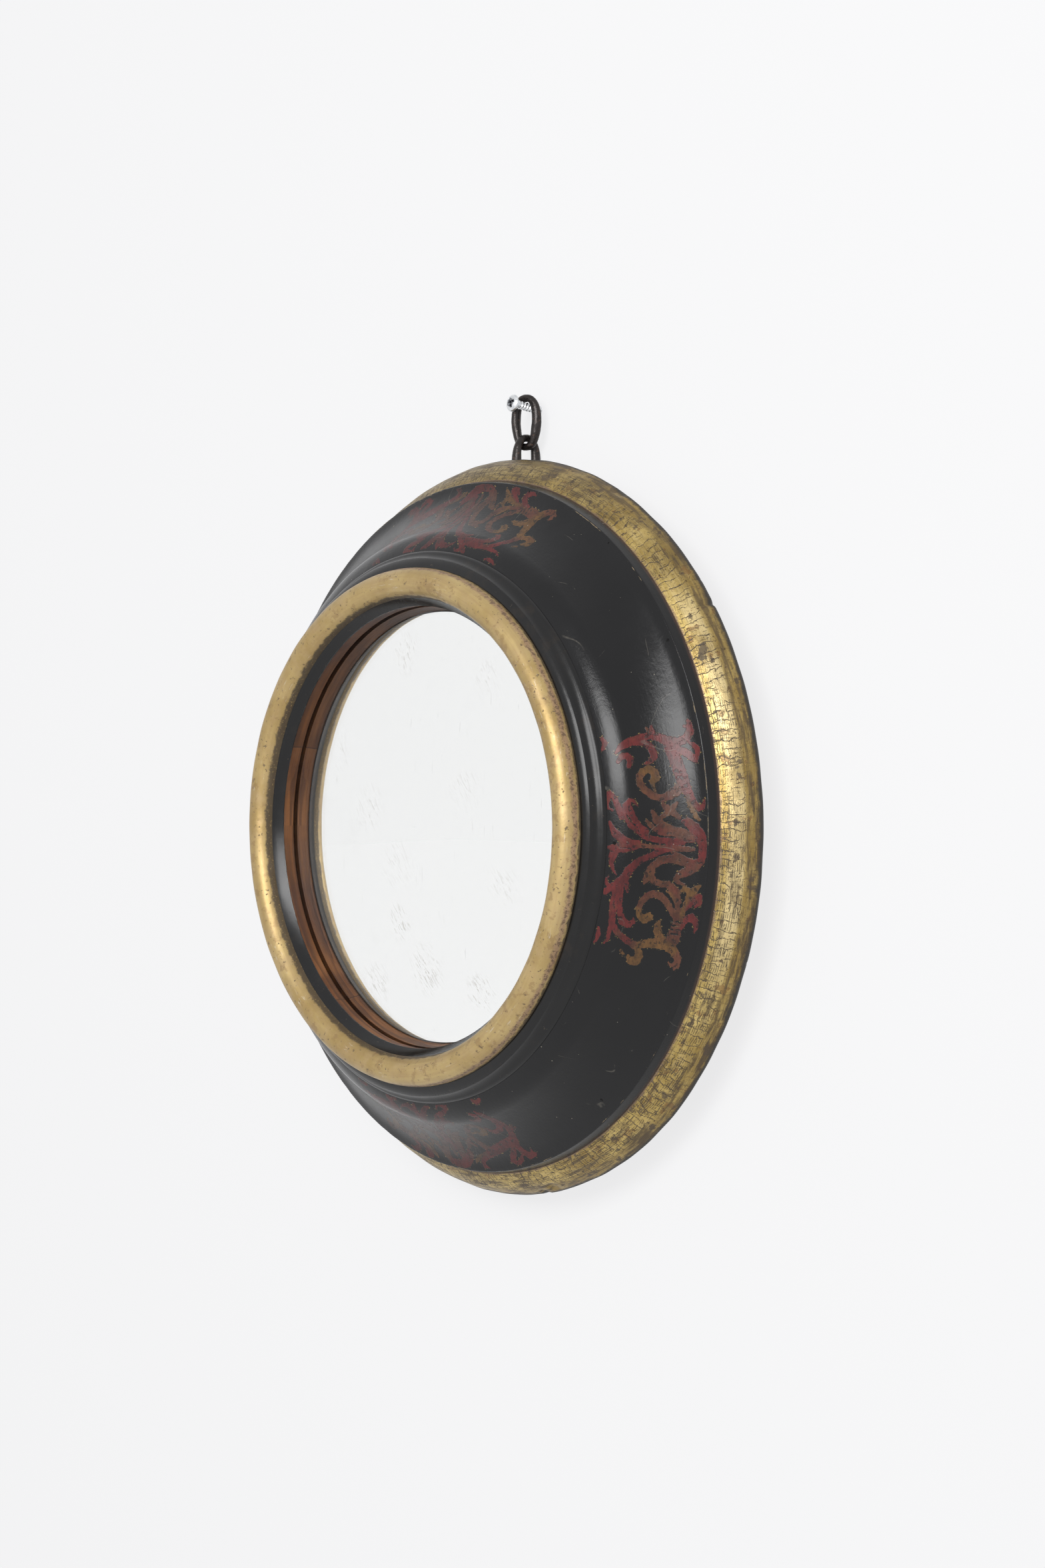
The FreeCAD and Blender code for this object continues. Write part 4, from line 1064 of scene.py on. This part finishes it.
def screw_surface():
    """Rows of points from the tip in the wall, along the thread, over the head to the recess."""
    axis = Vector((0, -math.cos(SCREW_TILT), math.sin(SCREW_TILT)))
    right = Vector((1, 0, 0))
    up = right.cross(axis)
    around_count = 96
    rows = []
    for i in range(311):
        distance = TIP + (NECK - TIP) * i / 310
        taper = min(1.0, max(0.03, (distance - TIP) / 5.5))
        row = []
        for j in range(around_count):
            phase = (distance / PITCH - j / around_count) % 1.0
            ridge = max(0.0, 1 - abs(phase - 0.5) / 0.30)
            fade = min(1.0, max(0.0, (19.1 - distance) / 0.8))
            row.append((taper * (1.62 + 0.74 * ridge * fade), distance))
        rows.append(row)
    for part in range(1, 10):  # underside of the head
        rows.append([(2.0 + (HEAD_RADIUS - 2.0) * part / 9, NECK + 0.25 * part / 9)] * around_count)
    for part in range(1, 54):  # dome, pushed in at the recess
        row = []
        lean = math.pi / 2 * part / 53
        reach = HEAD_RADIUS * math.cos(lean) + 0.01
        top = 19.75 + 2.25 * math.sin(lean)
        for j in range(around_count):
            turn = 2 * math.pi * j / around_count + math.radians(20)
            x, y = abs(reach * math.cos(turn)), abs(reach * math.sin(turn))
            outside = min(max(x - ARM_HALF_WIDTH, y - ARM_REACH), max(y - ARM_HALF_WIDTH, x - ARM_REACH))
            sunk = min(1.0, max(0.0, -outside / 0.22))
            row.append((reach, top - sunk * (0.6 + 1.2 * (1 - reach / HEAD_RADIUS))))
        rows.append(row)
    points = []
    for row in rows:
        for j, (reach, distance) in enumerate(row):
            turn = 2 * math.pi * j / around_count
            offset = right * (reach * math.cos(turn)) + up * (reach * math.sin(turn))
            points.append((axis * distance + offset) / 1000)
    faces = tube_faces(len(rows), around_count, closed=False)
    faces.append(tuple(range((len(rows) - 1) * around_count, len(rows) * around_count)))
    return points, faces


def zinc(bench):
    place = own_place(bench)
    bloom = bench.noise(place, 1.6, 5, 0.6)
    colour = bench.mix(bench.step(bloom, 0.3, 0.7), (0.60, 0.62, 0.64), (0.80, 0.81, 0.82))
    grime = patches(bench, place, 2.2, 0.40)
    colour = bench.coat(colour, grime, 0.45, (0.20, 0.20, 0.19))
    face_middle = (
        0.0, -SCREW_FRONT / 1000 * math.cos(SCREW_TILT), SCREW_FRONT / 1000 * math.sin(SCREW_TILT))
    # painted shade: a dark round patch laid over the cross recess of the head
    recess_shade = bench.use(worm_hole, place=place, centre=face_middle, radius=2.5)["Mask"]
    colour = bench.coat(colour, recess_shade, 0.85, (0.075, 0.075, 0.085))
    rough = bench.step(bloom, 0.3, 0.7, 0.20, 0.34)
    return {"Base Color": colour, "Metallic": 1.0, "Roughness": rough, "Normal": bench.bump(bloom, 0.02)}


zinc_screw = new_object("zinc_screw", *screw_surface())
zinc_screw.data.shade_smooth()
zinc_screw.data.set_sharp_from_angle(angle=math.radians(42))
zinc_screw.data.materials.append(finish_material("Zinc plate", zinc))
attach(zinc_screw, "wall_screw")
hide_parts("wall_screw")

# ---- Wall, floor and light ---------------------------------------------------------------------
# A white wall that keeps a faint soft shadow, a plain pale floor below, one large soft lamp from the
# front right and an even pale room.


def plain_sheet(name, corners):
    sheet = new_object(name, corners, [(0, 1, 2, 3)])
    return sheet


FLOOR_LEVEL = -1.45
wall = plain_sheet("wall", [(-6, 0, FLOOR_LEVEL), (6, 0, FLOOR_LEVEL), (6, 0, 4), (-6, 0, 4)])
floor = plain_sheet("floor", [
    (x, y, FLOOR_LEVEL) for x, y in ((-40, -40), (40, -40), (40, 0), (-40, 0))])


def white_sheet(name, shade, glow):
    """White surface that takes shadows weakly and is clear from behind."""
    sheet = bpy.data.materials.new(name)
    sheet.use_nodes = True
    tree = sheet.node_tree
    tree.nodes.clear()
    bench = Bench(tree)
    diffuse = bench.add("BsdfDiffuse", 0, {"Color": (shade, shade, shade)})
    lit = bench.add("AddShader", 0, {0: diffuse, 1: bench.add("Emission", 0, {
        "Color": (0.99, 0.99, 1.0), "Strength": glow})})
    behind = bench.add("NewGeometry", "Backfacing", {})
    shown = bench.add("MixShader", 0, {0: behind, 1: lit, 2: bench.add("BsdfTransparent", 0, {})})
    tree.links.new(shown, tree.nodes.new("ShaderNodeOutputMaterial").inputs[0])
    return sheet


wall.data.materials.append(white_sheet("White plaster", 0.15, 0.79))
floor.data.materials.append(white_sheet("Pale floor", 0.15, 0.88))
for sheet in (wall, floor):
    sheet.visible_diffuse = False
    sheet.visible_shadow = False

room = bpy.data.worlds.new("Pale room")
bpy.context.scene.world = room
room.use_nodes = True
tree = room.node_tree
tree.nodes.clear()
bench = Bench(tree)
path = bench.add("LightPath", 0, {}).node.outputs
seen = bench.most(path["Is Camera Ray"], path["Is Glossy Ray"])
seen = bench.most(seen, path["Is Transmission Ray"])
around = bench.add("Background", 0, {"Color": (1.0, 1.0, 1.0), "Strength": 0.40})
pale = bench.add("Background", 0, {"Color": (0.99, 0.99, 1.0), "Strength": 0.93})
light = bench.add("MixShader", 0, {0: seen, 1: around, 2: pale})
tree.links.new(light, tree.nodes.new("ShaderNodeOutputWorld").inputs[0])

mirror_middle = Vector((0, -0.05, mirror_z))


def soft_lamp(name, azimuth, elevation, distance, size, power):
    """Area lamp aimed at the mirror; the azimuth is measured from the mirror's own axis to its right."""
    a, e = math.radians(azimuth), math.radians(elevation)
    direction = Vector((math.sin(a) * math.cos(e), -math.cos(a) * math.cos(e), math.sin(e)))
    lamp = bpy.data.lights.new(name, "AREA")
    lamp.shape = "RECTANGLE"
    lamp.size, lamp.size_y = size
    lamp.energy = power
    holder = bpy.data.objects.new(name, lamp)
    bpy.context.scene.collection.objects.link(holder)
    holder.location = mirror_middle + direction * distance
    holder.rotation_euler = direction.to_track_quat("Z", "Y").to_euler()


soft_lamp("window_light", 27, 19, 2.5, (1.6, 1.1), 47)

# ---- Camera ------------------------------------------------------------------------------------
# Level with the mirror and about 50 degrees round to its right, 2 m away, on a long portrait lens.
azimuth, elevation, roll = math.radians(49.84), math.radians(-0.25), math.radians(0.11)
back = Vector((
    math.sin(azimuth) * math.cos(elevation), -math.cos(azimuth) * math.cos(elevation), math.sin(elevation)))
level = Vector((math.cos(azimuth), math.sin(azimuth), 0))
upright = level.cross(-back)
right = math.cos(roll) * level + math.sin(roll) * upright
above = -math.sin(roll) * level + math.cos(roll) * upright
spot = Vector((0, -0.023, mirror_z)) + 2.0194 * back + 0.00828 * right + 0.02326 * above
lens = bpy.data.cameras.new("camera")
lens.lens = 85
lens.sensor_fit = "VERTICAL"
lens.sensor_height = 36
camera = bpy.data.objects.new("camera", lens)
bpy.context.scene.collection.objects.link(camera)
turned_axes = Matrix((right, above, back)).transposed().to_4x4()
camera.matrix_world = Matrix.Translation(spot) @ turned_axes
bpy.context.scene.camera = camera
bpy.context.scene.view_settings.view_transform = "Standard"
